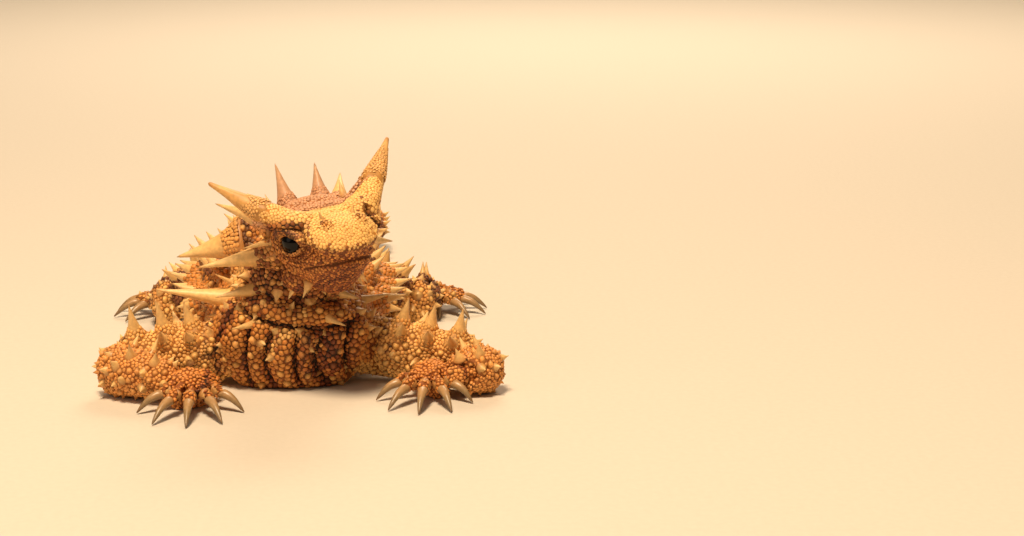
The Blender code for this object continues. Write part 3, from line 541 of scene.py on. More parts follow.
def toe_clefts(points):
    """The clefts between the toes of each paw: 0 on the toes and elsewhere, 1 between two toes."""
    out = np.zeros(len(points))
    for first in range(0, len(toe_lines), TOES):
        middle = toe_lines[first][1]
        at = (points - np.array(CHEST_AT + middle))[:, :2]
        far = np.maximum(np.linalg.norm(at, axis=1), 0.1)
        ways = np.array([way[:2] for _, _, way, _ in toe_lines[first:first + TOES]])
        facing = at @ ways.T / far[:, None]
        off = np.sqrt(np.clip(1 - facing.max(axis=1) ** 2, 0, 1))
        turned = np.sort(facing, axis=1)[:, -2] > 0.6
        out += (far < 10) * step(2.4, 3.8, far) * turned * step(0.12, 0.21, off) * (points[:, 2] > 0.3)
    return out


def round_lids(points):
    """How far out from the middle of the nearer eye's opening each point is, 1 along the lids'
    ridge, and how high, 1 at the middle of the upper lid and -1 at that of the lower."""
    out, high = np.full(len(points), 9.0), np.zeros(len(points))
    for lid_frame in lid_frames:
        x, y, z = seen_from(lid_frame, points).T
        far = np.where(np.abs(z) < 3.0, np.hypot(x / LID_LONG, y / LID_HIGH), 9.0)
        high = np.where(far < out, y / LID_HIGH / np.maximum(far, 0.1), high)
        out = np.minimum(out, far)
    return out, high


def creases(points, outward):
    """How far the skin stands out or is pressed in at each point, mm."""
    x, y, z, aside = in_head(points)
    wide, near = aside[:, 0], head_share(aside)
    lips = step(-3.0, -4.4, y) * near * step(9.4, 9.0, wide)
    apart = z - mouth_height(y)
    out = lips * (0.16 * bell(np.abs(apart) - 0.85, 0.5) - 0.34 * bell(apart, 0.22))
    for at, size, deep in ((NOSTRIL_AT, 0.5, 0.8), (EAR_AT, 1.0, 1.1)):
        far = np.linalg.norm(aside - at, axis=1)
        out += 0.3 * bell(far - 1.9 * size, 0.5 * size) - deep * bell(far, size)
    behind_jaw = bell(y - 4.6 - 0.15 * (z + 5), 0.9) * step(-0.5, -2.5, z) * step(2.0, 4.0, wide)
    out -= near * (0.75 * rim_crease(aside, 0.5) + 0.9 * behind_jaw)

    # Round the eye: the edge of the lower lid, the fold along both lids and two folds below.
    lids, high = round_lids(points)
    lower = step(0.5, -0.1, high)
    out += 0.16 * bell(lids - 1.05, 0.14) * lower
    out -= 0.46 * bell(lids - 1.40, 0.10) * np.where((x > 0) & (high > 0), 0.2, 1.0)
    out += lower * (0.20 * bell(lids - 1.62, 0.12) - 0.34 * bell(lids - 1.86, 0.10)
                    - 0.20 * bell(lids - 2.30, 0.12))
    under = shield_edge(y) - z
    out += near * step(-3.2, -4.2, y) * (0.34 * bell(under + 0.7, 0.8) - 0.55 * bell(under - 1.5, 1.3))

    # The upright folds of the chest and the two creases of the throat above them.
    px, py, pz = in_plan(points)
    breast = step(-0.15, -0.6, outward[:, 1]) * step(17.0, 12.0, np.abs(px + 1.0))
    breast *= 1 - near * step(18.0, 24.0, pz)
    over = pz - collar_height(px)
    chest = breast * step(0.3, 1.6, pz) * step(0.4, -1.4, over)
    out += chest * (2.0 * chest_folds(px, pz) ** 0.7 - 1.8) * (0.45 + 0.55 * step(-11.0, -4.0, px))
    out -= breast * (1.5 * bell(over, 0.8) + 0.9 * bell(over - 4.2, 0.7))

    # Toes, and the uneven lie of the hide over the rest of the body.
    out -= 1.15 * toe_clefts(points)
    body = (1 - near) * (1 - chest) * step(1.0, 3.0, pz)
    lumps = (np.sin(math.tau * px / 3.9 + 1.3 * np.sin(py / 2.1))
             * np.sin(math.tau * pz / 3.4 + 1.1 * np.sin(px / 2.7)))
    return out + 0.30 * body * lumps * np.sin(math.tau * py / 4.3 + 1.2 * np.sin(pz / 1.9))


THINNED = 0.30  # share of the faces kept away from the head
co = positions(skin.data)
out = normals(skin.data)
co += out * creases(co, out)[:, None]
co[:, 2] = np.maximum(co[:, 2], 0.0)
skin.data.vertices.foreach_set("co", (co * MM).astype(np.float32).ravel())
thin = skin.vertex_groups.new(name="thinned")
far_from_head = np.linalg.norm(in_head(co)[3] - HEAD_MIDDLE, axis=1) > 14.5
thin.add(np.nonzero(far_from_head)[0].tolist(), 1.0, "REPLACE")
thinner = skin.modifiers.new("thinner", "DECIMATE")
thinner.ratio = THINNED
thinner.vertex_group = "thinned"
apply_modifiers(skin)
skin.vertex_groups.clear()
skin.data.shade_smooth()

# Colour map of the skin
# The live animal's markings: a pale line down the back, large rusty patches edged darker beside
# it, bands on the legs and tail, a pale face and belly and a rosy crown. Every piece of the skin
# and of its coat reads them from the same place on the body.
UNWRAP = [  # each length of the body: its place on a flat map of the skin, as x, y, width, height
    (torso, 0.0, 0.0, 1.0, 0.30), (skull, 0.0, 0.30, 0.52, 0.26), (neck, 0.52, 0.30, 0.26, 0.26),
    (hump, 0.78, 0.30, 0.22, 0.26), (tail_base, 0.0, 0.56, 0.5, 0.12),
    (tail_tip, 0.5, 0.56, 0.5, 0.12)]
for y, high, tubes in ((0.68, 0.13, (*arms.values(), *thighs.values())),
                       (0.81, 0.10, (*forearms.values(), *shanks.values())),
                       (0.91, 0.09, tuple(paws.values()))):
    UNWRAP += [(tube, 0.25 * column, y, 0.25, high) for column, tube in enumerate(tubes)]
TORSO_PART, SKULL_PART, NECK_PART, HUMP_PART, TAIL_PARTS = 0, 1, 2, 3, (4, 5)
ARM_PARTS, LEG_PARTS, FOREARM_PARTS = (6, 7, 10, 11), (8, 9, 12, 13), (10, 11)
HAND_PARTS, FOOT_PARTS = (14, 15), (16, 17)
PAW_PARTS = HAND_PARTS + FOOT_PARTS


def tree_of(points):
    """A tree that finds the nearest of the points."""
    tree = KDTree(len(points))
    for index, point in enumerate(points):
        tree.insert(point, index)
    tree.balance()
    return tree


surface_samples = []  # part, share of its length and turn round it
for part, (tube, *_) in enumerate(UNWRAP):
    around = 48 if part <= HUMP_PART else 28
    along = max(8, int(tube.length / 1.3))
    surface_samples += [(part, i / along, 360 * j / around) for i in range(along + 1)
                        for j in range(around)]
sample_tree = tree_of([UNWRAP[part][0].point(s, turn, SKIN_DEPTH) for part, s, turn in surface_samples])
sample_table = np.array(surface_samples)


def body_places(points):
    """The part, the share of its length and the turn round it of each point, mm, as rows."""
    return sample_table[[sample_tree.find(p)[1] for p in points]]


def flat_places(places):
    """Where each body place lies on the flat map of the skin."""
    part, s, turn = places.T
    table = np.array([row[1:] for row in UNWRAP])[part.astype(int)]
    across = table[:, 0] + table[:, 2] * (0.02 + 0.96 * turn / 360)
    return np.stack((across, table[:, 1] + table[:, 3] * (0.02 + 0.96 * s)), axis=1)


def from_line(points, start, end):
    """How far each point is from a straight line between two points."""
    start, way = np.array(start), np.array(end) - start
    share = np.clip((points - start) @ way / (way @ way), 0, 1)
    return np.linalg.norm(points - start - share[:, None] * way, axis=1)


def markings(points, places):
    """Four shares at each point: rusty patch, which on the head is painted shade, pale ground, rosy crown
    and orange limbs.
    """
    part, s, turn = places.T
    around = np.abs((turn + 180) % 360 - 180)
    px, py, pz = in_plan(points)
    patch, pale, rosy, orange = np.zeros((4, len(s)))
    beads, tail_bands, limb_bands = (0.5 + 0.5 * np.cos(math.tau * (count * s + start))
                                     for count, start in ((2.7, 0.08), (2.4, 0.3), (1.6, 0.45)))
    limb_strong = np.where(np.isin(part, ARM_PARTS), 0.34, 0.8)
    for parts, rusty, light in (
            ((TORSO_PART,), bell(around - 46, 25) * (0.45 + 0.75 * beads) * step(0.32, 0.46, s),
             np.maximum(bell(around, 9), 0.8 * step(104, 128, around))),
            ((HUMP_PART,), 0.5 * bell(around - 150, 40) * step(0.2, 0.5, s),
             0.75 * step(150, 80, around)),
            ((NECK_PART,), 0.16 * bell(around - 95, 30), 0.62 + 0.3 * step(70, 110, around)),
            (TAIL_PARTS, 1.1 * tail_bands * step(128, 100, around),
             np.maximum(bell(around, 12), step(112, 135, around))),
            (ARM_PARTS + LEG_PARTS, limb_strong * limb_bands * step(120, 90, around),
             0.35 + 0.45 * step(110, 135, around))):
        on = np.isin(part, parts)
        patch[on], pale[on] = rusty[on], light[on]
    front = (part == TORSO_PART) & (py < 6.0)
    patch[front] = (0.30 * bell(px - 1.0, 7.0) * step(24.0, 17.0, pz))[front]
    pale[front] = 0.12
    # The arms and hands are paler: partly their own colour, partly painted light, as if they stood in the
    # lamp's full light.
    pale[np.isin(part, ARM_PARTS + HAND_PARTS)] += 0.30
    reddened = np.isin(part, FOREARM_PARTS + HAND_PARTS)
    orange[reddened] = 0.55
    patch[reddened] *= 0.3

    # The head: a rosy crown, a pale shield and lower lids, and dusky brows, temples and chin, which are
    # painted shade.
    x, y, z, aside = in_head(points)
    on = part == SKULL_PART
    crown = step(-1.9, -1.1, y) * step(3.0, 5.0, z)
    shield = step(-1.3, 1.5, z - shield_edge(y)) * step(-1.0, -3.4, y + 0.25 * aside[:, 0])
    shield = np.maximum(shield, step(4.8, 6.4, z))
    lids, high = round_lids(points)
    lower_lid = bell(lids - 1.08, 0.20) * step(0.3, -0.3, high)
    eye = np.linalg.norm(aside - EYE_AT, axis=1)
    temple = from_line(aside, (8.4, 0.4, 4.6), (6.9, 0.2, 2.4))
    rosy[on] = crown[on]
    pale[on] = np.maximum((1 - crown) * (0.30 + 0.68 * shield), 0.90 * lower_lid)[on]
    orange[on] = ((1 - crown) * (1 - shield) * 0.35)[on]
    # Painted shade over and behind the eye, under the horn and on the chin.
    patch[on] = np.max((0.40 * bell(eye - 2.8, 0.9) * step(1.6, 2.8, z), 0.42 * bell(temple, 1.5),
                        0.22 * step(-3.4, -6.0, z), 0.16 * bell(z + 1.0, 1.6)), axis=0)[on]
    return np.stack((patch, pale, rosy, orange), axis=1)


def soot_at(points, places):
    """How much painted shade and dark dust lies at each point, 0 to 1: dust in the grooves, and painted
    shade in the creases and under the brows, horns, lids, jaw and throat.
    """
    x, y, z, aside = in_head(points)
    lids, high = round_lids(points)
    above = z - shield_edge(y)
    # On the head this is mostly painted shade: under the brow, horn and upper lid, along the creases,
    # lids, lips and the lower edge of the shield, and on the chin and jaw.
    face = np.max((
        0.95 * bell(from_line(aside, (8.6, -0.9, 5.6), (5.6, -4.8, 3.6)), 1.5),  # front of the brow
        0.90 * bell(above + 0.1, 0.8) * step(-3.4, -4.6, y),
        0.70 * step(0.6, -1.2, above),
        0.90 * bell(from_line(aside, (3.4, -7.4, 4.9), NOSTRIL_AT), 0.9),
        0.70 * bell(from_line(aside, (6.2, -4.4, 6.4), (3.6, -8.4, 3.0)), 0.8) * (x > 0),
        rim_crease(aside, 0.55),
        bell(lids - 1.42, 0.10),
        0.80 * bell(lids - 1.88, 0.10) * step(0.5, -0.1, high),
        np.where(x < 0, 1.00, 0.45) * bell(lids - 1.15, 0.30) * step(0.1, 0.5, high),
        np.where(x < 0, 1.00, 0.30) * bell(lids - 1.75, 0.40) * step(0.3, 0.7, high),
        bell(from_line(aside, (9.2, 1.4, 5.6), (7.2, 1.0, 1.2)), 1.9),  # temple
        step(-3.2, -6.4, z + 0.3 * y),  # chin and jaw
        0.62 * bell(aside @ (0.5, 0.0, 1.0) + 1.2, 0.9) * step(-1.5, -3.0, y),
        0.60 * bell(z - mouth_height(y), 0.40) * step(-3.0, -4.4, y)), axis=0)
    # On the body: dust in the grooves, and painted shade in the toe clefts, behind and under the jaw down
    # the throat, along the collar and between the folds of the chest, deepest toward its middle.
    px, py, pz = in_plan(points)
    over = pz - collar_height(px)
    chest = step(5.5, 3.5, py) * step(18.0, 12.0, np.abs(px + 1))
    shade = step(0.6, -0.6, over) * (0.40 + 0.70 * bell(chest_folds(px, pz), 0.55)
                                     + 0.55 * bell(px - 4.5, 4.5) * step(1.0, 4.0, pz))
    throat = step(7.0, 3.0, py) * step(12.0, 7.0, np.abs(px)) * step(27.0, 23.0, pz)
    body = np.maximum.reduce((
        np.full(len(px), 0.42), toe_clefts(points),
        0.9 * head_share(aside) * step(3.4, 4.4, y) * step(0.6, -1.0, z),  # behind the jaw
        chest * np.maximum.reduce((shade, 1.1 * bell(over, 1.0), 0.8 * bell(over - 4.2, 0.8))),
        1.3 * throat * step(12.5, 16.5, pz)))
    return np.clip(np.where(places[:, 0] == SKULL_PART, face, body), 0, 1)


def set_values(mesh, name, values):
    """Stores one number, or four, at each vertex."""
    kind, slot = ("FLOAT", "value") if values.ndim == 1 else ("FLOAT_COLOR", "color")
    made = mesh.attributes.new(name, kind, "POINT")
    made.data.foreach_set(slot, values.astype(np.float32).ravel())


def hide_colours(tree):
    """The markings as a colour: shared by the skin and by all that grows on it."""
    place = add_node(tree, "ShaderNodeTexCoord").outputs["Object"]
    marks = add_node(tree, "ShaderNodeAttribute", attribute_name="marks")
    apart = add_node(tree, "ShaderNodeSeparateColor", {"Color": marks.outputs["Color"]})
    patch, pale, rosy = (apart.outputs[k] for k in ("Red", "Green", "Blue"))
    # Clouds of about 2.4 mm, and flecks of 0.8 mm that leave the edges of the patches ragged.
    cloud = add_node(tree, "ShaderNodeTexNoise", {"Vector": place, "Scale": 420.0, "Detail": 3.0})
    fleck = add_node(tree, "ShaderNodeTexNoise", {"Vector": place, "Scale": 1300.0})
    flecked = add_node(tree, "ShaderNodeMath", {0: fleck.outputs["Fac"], 1: 0.30, 2: patch},
                       operation="MULTIPLY_ADD")
    ragged = add_node(tree, "ShaderNodeMath", {
        0: cloud.outputs["Fac"], 1: 0.45, 2: flecked.outputs["Value"]}, operation="MULTIPLY_ADD")
    shades = add_node(tree, "ShaderNodeMix", {
        "Factor": cloud.outputs["Fac"], "A": hex_colour("#ba7229"), "B": hex_colour("#dc8f3a")},
        data_type="RGBA")
    colour = shades.outputs["Result"]
    for share, tint in ((pale, "#f4c070"), (rosy, "#cc956c"), (marks.outputs["Alpha"], "#d88032")):
        colour = add_node(tree, "ShaderNodeMix", {
            "Factor": share, "A": colour, "B": hex_colour(tint)}, data_type="RGBA").outputs["Result"]
    for low, high, strong, tint in ((0.66, 0.76, 0.8, "#8a5626"), (0.72, 0.80, 0.7, "#46280f"),
                                    (0.84, 0.96, 0.8, "#84491f")):
        share = add_node(tree, "ShaderNodeMapRange", {
            "Value": ragged.outputs["Value"], "From Min": low, "From Max": high, "To Max": strong})
        colour = add_node(tree, "ShaderNodeMix", {
            "Factor": share.outputs["Result"], "A": colour, "B": hex_colour(tint)},
            data_type="RGBA").outputs["Result"]
    return colour, place


def finish_surface(tree, shader, colour, relief, strength, depth, rough, ior):
    """The end of a material: its colour, its fine relief and how it throws back the light."""
    bump = add_node(tree, "ShaderNodeBump", {"Height": relief, "Strength": strength, "Distance": depth})
    tree.links.new(colour, shader.inputs["Base Color"])
    tree.links.new(bump.outputs["Normal"], shader.inputs["Normal"])
    shader.inputs["Roughness"].default_value = rough
    shader.inputs["IOR"].default_value = ior


def shaded(tree, colour, light, least, most):
    """A colour made lighter or darker by a value and, from least to most, by each piece's tone."""
    tone = add_node(tree, "ShaderNodeAttribute", attribute_name="tone")
    varied = add_node(tree, "ShaderNodeMapRange", {
        "Value": tone.outputs["Fac"], "To Min": least, "To Max": most})
    both = add_node(tree, "ShaderNodeMath", {0: light, 1: varied.outputs["Result"]}, operation="MULTIPLY")
    return add_node(tree, "ShaderNodeVectorMath", {0: colour, "Scale": both.outputs["Value"]},
                    operation="SCALE").outputs["Vector"]


def horny_skin():
    """Thin dry hide between the scales, matt and finely grained: all darkened as painted shade in the
    grooves, and darker still where painted shade and dust lie.
    """
    made, tree, shader = new_material("dry_horny_skin")
    colour, place = hide_colours(tree)
    # Painted shade over all the hide, which lies in the grooves between the scales.
    shadow = add_node(tree, "ShaderNodeMix", {
        "Factor": 1.0, "A": colour, "B": hex_colour("#cfb080")},
        data_type="RGBA", blend_type="MULTIPLY")
    soot = add_node(tree, "ShaderNodeAttribute", attribute_name="soot")
    sooty = add_node(tree, "ShaderNodeMix", {
        "Factor": soot.outputs["Fac"], "A": shadow.outputs["Result"], "B": hex_colour("#2c170a")},
        data_type="RGBA")
    grains = add_node(tree, "ShaderNodeTexVoronoi", {"Vector": place, "Scale": 2600.0},
                      feature="SMOOTH_F1")  # grains of about 0.4 mm
    finish_surface(tree, shader, sooty.outputs["Result"], grains.outputs["Distance"], 0.5, 0.0001,
                   0.75, 1.5)
    return made


co = positions(skin.data)
skin_places = body_places(co)
set_values(skin.data, "marks", markings(co, skin_places))
set_values(skin.data, "soot", soot_at(co, skin_places))
skin.data.materials.append(horny_skin())
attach(skin, "root")
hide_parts("head", "neck", "nape_hump", "torso", "tail_base", "tail_tip",
            *[f"{limb}_{side}" for side in ("left", "right")
              for limb in ("upper_arm", "forearm", "hand", "thigh", "shank", "foot")])

# Eyes
# A dark ball in each socket: a brown iris so deep that it is hardly parted from the round pupil,
# under a wet clear cornea.
def set_stops(node, stops):
    """The stops of a colour ramp, as position and hex colour."""
    elements = node.color_ramp.elements
    for k, (position, code) in enumerate(stops):
        stop = elements[k] if k < 2 else elements.new(position)
        stop.position, stop.color = position, hex_colour(code)


def wet_eye():
    """Pupil, iris and dark rim under a glassy wet cornea, by the angle from where the eye looks."""
    made, tree, shader = new_material("wet_cornea_over_dark_iris")
    look = add_node(tree, "ShaderNodeAttribute", attribute_name="off_axis")
    ring = add_node(tree, "ShaderNodeValToRGB", {"Fac": look.outputs["Fac"]})
    set_stops(ring, ((0.30, "#050302"), (0.36, "#3a1e0a"), (0.52, "#1a0c05"), (0.60, "#0a0503")))
    tree.links.new(ring.outputs["Color"], shader.inputs["Base Color"])
    shader.inputs["Roughness"].default_value = 0.06
    shader.inputs["IOR"].default_value = 1.376
    shader.inputs["Specular IOR Level"].default_value = 0.35
    return made


def add_piece(mesh, finish):
    """A finished piece of the animal: smooth, with its material and the body it is on."""
    mesh.shade_smooth()
    mesh.materials.append(finish)
    piece = add_object(mesh.name, mesh)
    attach(piece, "root")
    return piece


def piece_from(bm, name, finish):
    """A finished piece from a bmesh."""
    mesh = bpy.data.meshes.new(name)
    bm.to_mesh(mesh)
    bm.free()
    return add_piece(mesh, finish)


eye_finish = wet_eye()
for side, at, look in (("left", EYE_AT, EYE_LOOK), ("right", flipped(EYE_AT), flipped(EYE_LOOK))):
    bm = bmesh.new()
    bmesh.ops.create_uvsphere(bm, u_segments=48, v_segments=32, radius=EYE_RADIUS * MM)
    aim = Vector(look).normalized().to_track_quat("Z", "Y").to_matrix().to_4x4()
    off_axis = np.array([v.co.angle(Vector((0, 0, 1))) / math.pi for v in bm.verts])
    place = Matrix.Scale(MM, 4) @ head_place @ Matrix.Translation(at) @ Matrix.Scale(1 / MM, 4) @ aim
    bmesh.ops.transform(bm, verts=bm.verts, matrix=place)
    eye = piece_from(bm, f"eyeball_{side}", eye_finish)
    set_values(eye.data, "off_axis", off_axis)
    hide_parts(f"eye_{side}")

# Horns
# The horn over each eye: a hollow-sided cone of pale keratin, smooth toward the tip, that grows
# out of the scaly brow. The animal's left one is the broader.
HORN = (
    (8.8, -0.8, 7.0, 2.5, 2.1, 2.1),
    (10.8, 0.3, 8.6, 2.0, 1.8, 1.8),
    (12.8, 1.6, 10.4, 1.4, 1.25, 1.25),
    (14.7, 2.9, 12.2, 0.75, 0.7, 0.7),
    (16.5, 4.2, 13.9, 0.28, 0.28, 0.28),
)


def keratin(name, colours, rough):
    """Horn, grown in four tones from root to point and faintly clouded, about every 0.7 mm."""
    made, tree, shader = new_material(name)
    place = add_node(tree, "ShaderNodeTexCoord").outputs["Object"]
    lift = add_node(tree, "ShaderNodeAttribute", attribute_name="lift")
    clouds = add_node(tree, "ShaderNodeTexNoise", {"Vector": place, "Scale": 1500.0, "Detail": 3.0})
    grown = add_node(tree, "ShaderNodeValToRGB", {"Fac": lift.outputs["Fac"]})
    set_stops(grown, zip((0.0, 0.35, 0.86, 1.0), colours))
    mottled = add_node(tree, "ShaderNodeMapRange", {
        "Value": clouds.outputs["Fac"], "From Min": 0.3, "From Max": 0.75, "To Min": 0.78, "To Max": 1.08})
    lit = shaded(tree, grown.outputs["Color"], mottled.outputs["Result"], 0.86, 1.06)
    finish_surface(tree, shader, lit, clouds.outputs["Fac"], 0.35, 0.0001, rough, 1.55)
    return made


horn_finish = keratin("smooth_horn_keratin", ("#ae7534", "#d69c50", "#e6b068", "#c08240"), 0.52)
horn_tubes = {}
for side, flip in (("left", 1), ("right", -1)):
    tube = horn_tubes[side] = Tube(side_rows(HORN, flip), ends=(1.6, 0.4), place=head_place)
    bm = bmesh.new()
    bmesh.ops.create_uvsphere(bm, u_segments=32, v_segments=48, radius=1.0)
    lifts = []
    for v in bm.verts:
        s = (1 - v.co.z) / 2
        turn = math.degrees(math.atan2(v.co.y, v.co.x))
        worn = 1 + 0.03 * math.sin(math.radians(turn * 5) + 9 * s)
        centre = tube.place @ tube.oval(s)[0]
        v.co = (centre + (tube.point(s, turn) - centre) * worn) * MM
        lifts.append(s)
    bmesh.ops.reverse_faces(bm, faces=bm.faces)  # drawing the ball out turned it inside out
    horn = piece_from(bm, f"horn_sheath_{side}", horn_finish)
    set_values(horn.data, "lift", np.array(lifts))
    set_values(horn.data, "tone", np.full(len(lifts), 0.6))
    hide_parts(f"horn_{side}")

# Claws
# Long, slightly hooked claws of grey-brown horn, worn smooth. One grows from the end of each toe,
# and its point comes down almost to the floor.
CLAW_RADIUS, CLAW_HOOK = 0.92, 0.75  # at the root, and how far the middle arches up, mm
CLAW_ROOT_HIGH, CLAW_TIP_HIGH = 2.85, 0.22
claw_finish = keratin("worn_claw_keratin", ("#bb9262", "#9c8059", "#7f6344", "#553d29"), 0.36)
bm = bmesh.new()
for name, middle, way, reach in toe_lines:
    root = CHEST_AT + middle + way * reach * 0.50
    tip = CHEST_AT + middle + way * reach
    root.z, tip.z = CLAW_ROOT_HIGH, CLAW_TIP_HIGH
    turned = (tip - root).to_track_quat("Z", "Y").to_matrix()
    made = bmesh.ops.create_uvsphere(bm, u_segments=12, v_segments=16, radius=1.0)
    for v in made["verts"]:
        t = (1 - v.co.z) / 2
        wide = CLAW_RADIUS * (1 - t) ** 0.6 * min(1.0, math.sqrt(8 * t)) + 0.02
        ring = Vector((v.co.x, v.co.y, 0))
        ring = ring.normalized() * wide if ring.length > 1e-4 else ring
        arch = Vector((0, 0, CLAW_HOOK * math.sin(math.pi * t)))
        v.co = (root + (tip - root) * t + arch + turned @ ring) * MM
bmesh.ops.reverse_faces(bm, faces=bm.faces)  # these balls too
claws = piece_from(bm, "claws", claw_finish)
heights = positions(claws.data)[:, 2]
set_values(claws.data, "lift", np.clip(1 - heights / 3.0, 0, 1))
set_values(claws.data, "tone", np.full(len(heights), 0.5))

# Spines
# Each is one great scale drawn up into a hollow-sided cone of pale keratin, broad where it
# stands in the hide. They run in rows along the trunk, tail and limbs, and the largest stand on
# the nape's false head, the neck, the shoulders and behind the jaw.
HEAD_SPINES = (  # root on the animal's left, its tip there and on the right, root radius, mm
    ((2.9, 4.8, 6.0), (3.8, 7.0, 12.7), (3.4, 6.7, 13.8), 2.3),      # back of the crown
    ((6.2, 5.4, 4.6), (11.0, 12.5, 9.6), (12.2, 13.0, 8.5), 2.6),    # temple
    ((6.6, 5.6, -0.4), (17.6, 9.6, -3.4), (18.2, 10.6, -0.9), 2.6),  # behind the ear
    ((5.2, 1.8, -5.4), (6.9, 2.2, -8.4), (6.9, 2.2, -7.9), 1.1),     # corner of the jaw
    ((6.8, 4.2, 1.6), (11.4, 6.8, 1.2), (11.5, 6.8, 1.2), 1.1),      # behind the eye
    ((2.7, -6.1, 4.8), (2.9, -6.3, 6.5), (3.4, -6.4, 6.4), 0.55),    # over the nostril
    ((4.6, -1.4, -5.4), (6.0, -1.4, -7.6), (6.0, -1.4, -7.6), 0.8),  # lower jaw
    ((6.4, 3.6, 6.4), (6.8, 5.0, 9.4), (6.8, 5.0, 9.4), 0.9),        # beside the crown
)
NECK_SPINES = (  # root, tip, root radius
    ((-5.4, 2.4, 17.4), (-13.4, -1.0, 16.4), 2.0),
    ((5.2, 3.0, 16.6), (10.0, 3.2, 15.2), 1.6),
    ((-8.6, 8.8, 15.0), (-14.4, 5.4, 19.0), 1.5),
    ((-5.5, 1.6, 11.8), (-10.6, -4.2, 11.8), 1.5),
    ((3.6, 1.0, 13.0), (8.2, -3.6, 12.2), 1.3),
)
HUMP_SPINES = (
    ((-10.8, 13.6, 22.6), (-22.0, 14.0, 20.0), 3.8),
    ((-3.0, 14.6, 22.8), (8.0, 19.0, 22.4), 3.8),
    ((-9.8, 16.4, 23.8), (-15.0, 22.4, 26.0), 1.8),
    ((-5.0, 17.0, 24.0), (-2.6, 23.4, 26.4), 1.8),
)
SHOULDER_SPINES = (
    ((-8.4, 7.4, 13.8), (-24.4, 5.8, 16.2), 2.9),
    ((4.8, 8.6, 12.6), (14.6, 10.6, 14.4), 2.3),
)


def inside(tube, point, margin=0.0):
    """Whether a point, mm, is in the tube or within margin of it."""
    samples = 24
    for i in range(samples + 1):
        centre, side, up, (wide, above, below) = tube.oval(i / samples)
        apart = point - tube.place @ centre
        if abs(apart.dot(side.cross(up))) > tube.length / samples:
            continue
        high = apart.dot(up)
        tall = above if high > 0 else below
        if (apart.dot(side) / (wide + margin)) ** 2 + (high / (tall + margin)) ** 2 < 1.0:
            return True
    return False


def spine_row(tube, turn, places, sizes, clear_of=(), lean=0.35, seed=1):
    """Roots, tips and radii of spines along one line of a tube, without those that meet another
    length. sizes gives the length and radius, mm, at each end of the row."""
    draw = random.Random(seed)
    made = []
    for k, s in enumerate(places):
        share = k / max(1, len(places) - 1)
        length = sizes[0][0] * (1 - share) + sizes[1][0] * share
        radius = sizes[0][1] * (1 - share) + sizes[1][1] * share
        length *= draw.uniform(0.82, 1.12)
        at = s + draw.uniform(-0.012, 0.012)
        round_by = turn + draw.uniform(-4, 4)
        root, out = tube.point(at, round_by), tube.normal(at, round_by)
        centre, side, up, _ = tube.oval(at)
        tip = root + (out + up.cross(side) * lean).normalized() * length
        if any(inside(other, root, 0.9 * radius) or inside(other, tip, 1.0) for other in clear_of):
            continue
        if tip.z < 0.3 or root.z < radius * 0.8:
            continue
        made.append((root - out * 0.3 * radius, tip, radius))
    return made


def spread(first, last, count):
    """Even steps from first to last."""
    return [first + (last - first) * i / (count - 1) for i in range(count)]


def placed(rows, place):
    """Spines with their roots and tips carried from the head's frame or the plan to the frame."""
    return [(place @ Vector(root), place @ Vector(tip), radius) for root, tip, radius in rows]


def tail_rows(tube, first, last, count, size, near=()):
    """Whorls of spines, two on the back and two on each flank."""
    made = []
    for turn, scale in ((24, 0.85), (68, 1.0), (104, 0.7)):
        for flip in (1, -1):
            sizes = tuple((length * scale, radius) for length, radius in size)
            made += spine_row(tube, turn * flip, spread(first, last, count), sizes, near,
                              lean=0.5, seed=int(turn) + flip)
    return made


plan_place = Matrix.Translation(CHEST_AT)
head_rows = []
for root, left, right, radius in HEAD_SPINES:
    head_rows += [(root, left, radius), (flipped(root), flipped(right), radius)]
limbs = [*arms.values(), *thighs.values(), *forearms.values(), *shanks.values()]
spines = {
    "crown": placed(head_rows[:2], head_place),
    "head": placed(head_rows[2:], head_place),
    "neck": placed(NECK_SPINES + HUMP_SPINES + SHOULDER_SPINES, plan_place),
    "trunk": [],
    "tail": tail_rows(tail_base, 0.34, 0.9, 4, ((3.6, 1.4), (3.2, 1.3)), [torso])
            + tail_rows(tail_tip, 0.22, 0.92, 6, ((3.0, 1.2), (1.6, 0.7))),
    "limbs": [],
}
for k, (turn, places, sizes, lean) in enumerate((
        (11, spread(0.30, 0.92, 8), ((2.6, 1.1), (2.8, 1.1)), 0.5),
        (32, spread(0.27, 0.94, 8), ((4.4, 1.8), (4.0, 1.6)), 0.45),
        (55, spread(0.32, 0.90, 7), ((5.0, 2.0), (4.2, 1.7)), 0.35),
        (78, spread(0.28, 0.84, 8), ((5.6, 2.1), (4.8, 1.9)), 0.25),
        (100, spread(0.34, 0.80, 6), ((3.8, 1.6), (3.4, 1.5)), 0.2))):
    for flip in (1, -1):
        spines["trunk"] += spine_row(torso, turn * flip, places, sizes,
                                     [neck, hump, tail_base, *limbs], lean, 20 + 2 * k + flip)
for side, flip in (("left", -1), ("right", 1)):
    for tube, near, seed, rows in (
            (arms[side], [torso, forearms[side]], 40, (
                (-8, (0.46, 0.64, 0.84), (5.2, 1.85)), (38, (0.55, 0.80), (3.4, 1.5)),
                (-48, (0.48, 0.66, 0.84), (3.6, 1.6)))),
            (forearms[side], [arms[side]], 50, (
                (-20, (0.35, 0.62), (2.6, 1.1)), (25, (0.5, 0.75), (2.2, 1.0)))),
            (thighs[side], [torso, shanks[side], tail_base], 60, (
                (-10, (0.5, 0.7, 0.9), (4.4, 1.7)), (40, (0.55, 0.8), (3.6, 1.4)),
                (-50, (0.55, 0.8), (3.4, 1.4)))),
            (shanks[side], [thighs[side]], 70, (
                (0, (0.4, 0.65), (3.0, 1.2)), (50, (0.45, 0.7), (2.6, 1.1))))):
        for k, (turn, places, size) in enumerate(rows):
            spines["limbs"] += spine_row(tube, turn * flip, places, (size, size), near,
                                         lean=0.15, seed=seed + flip + k)

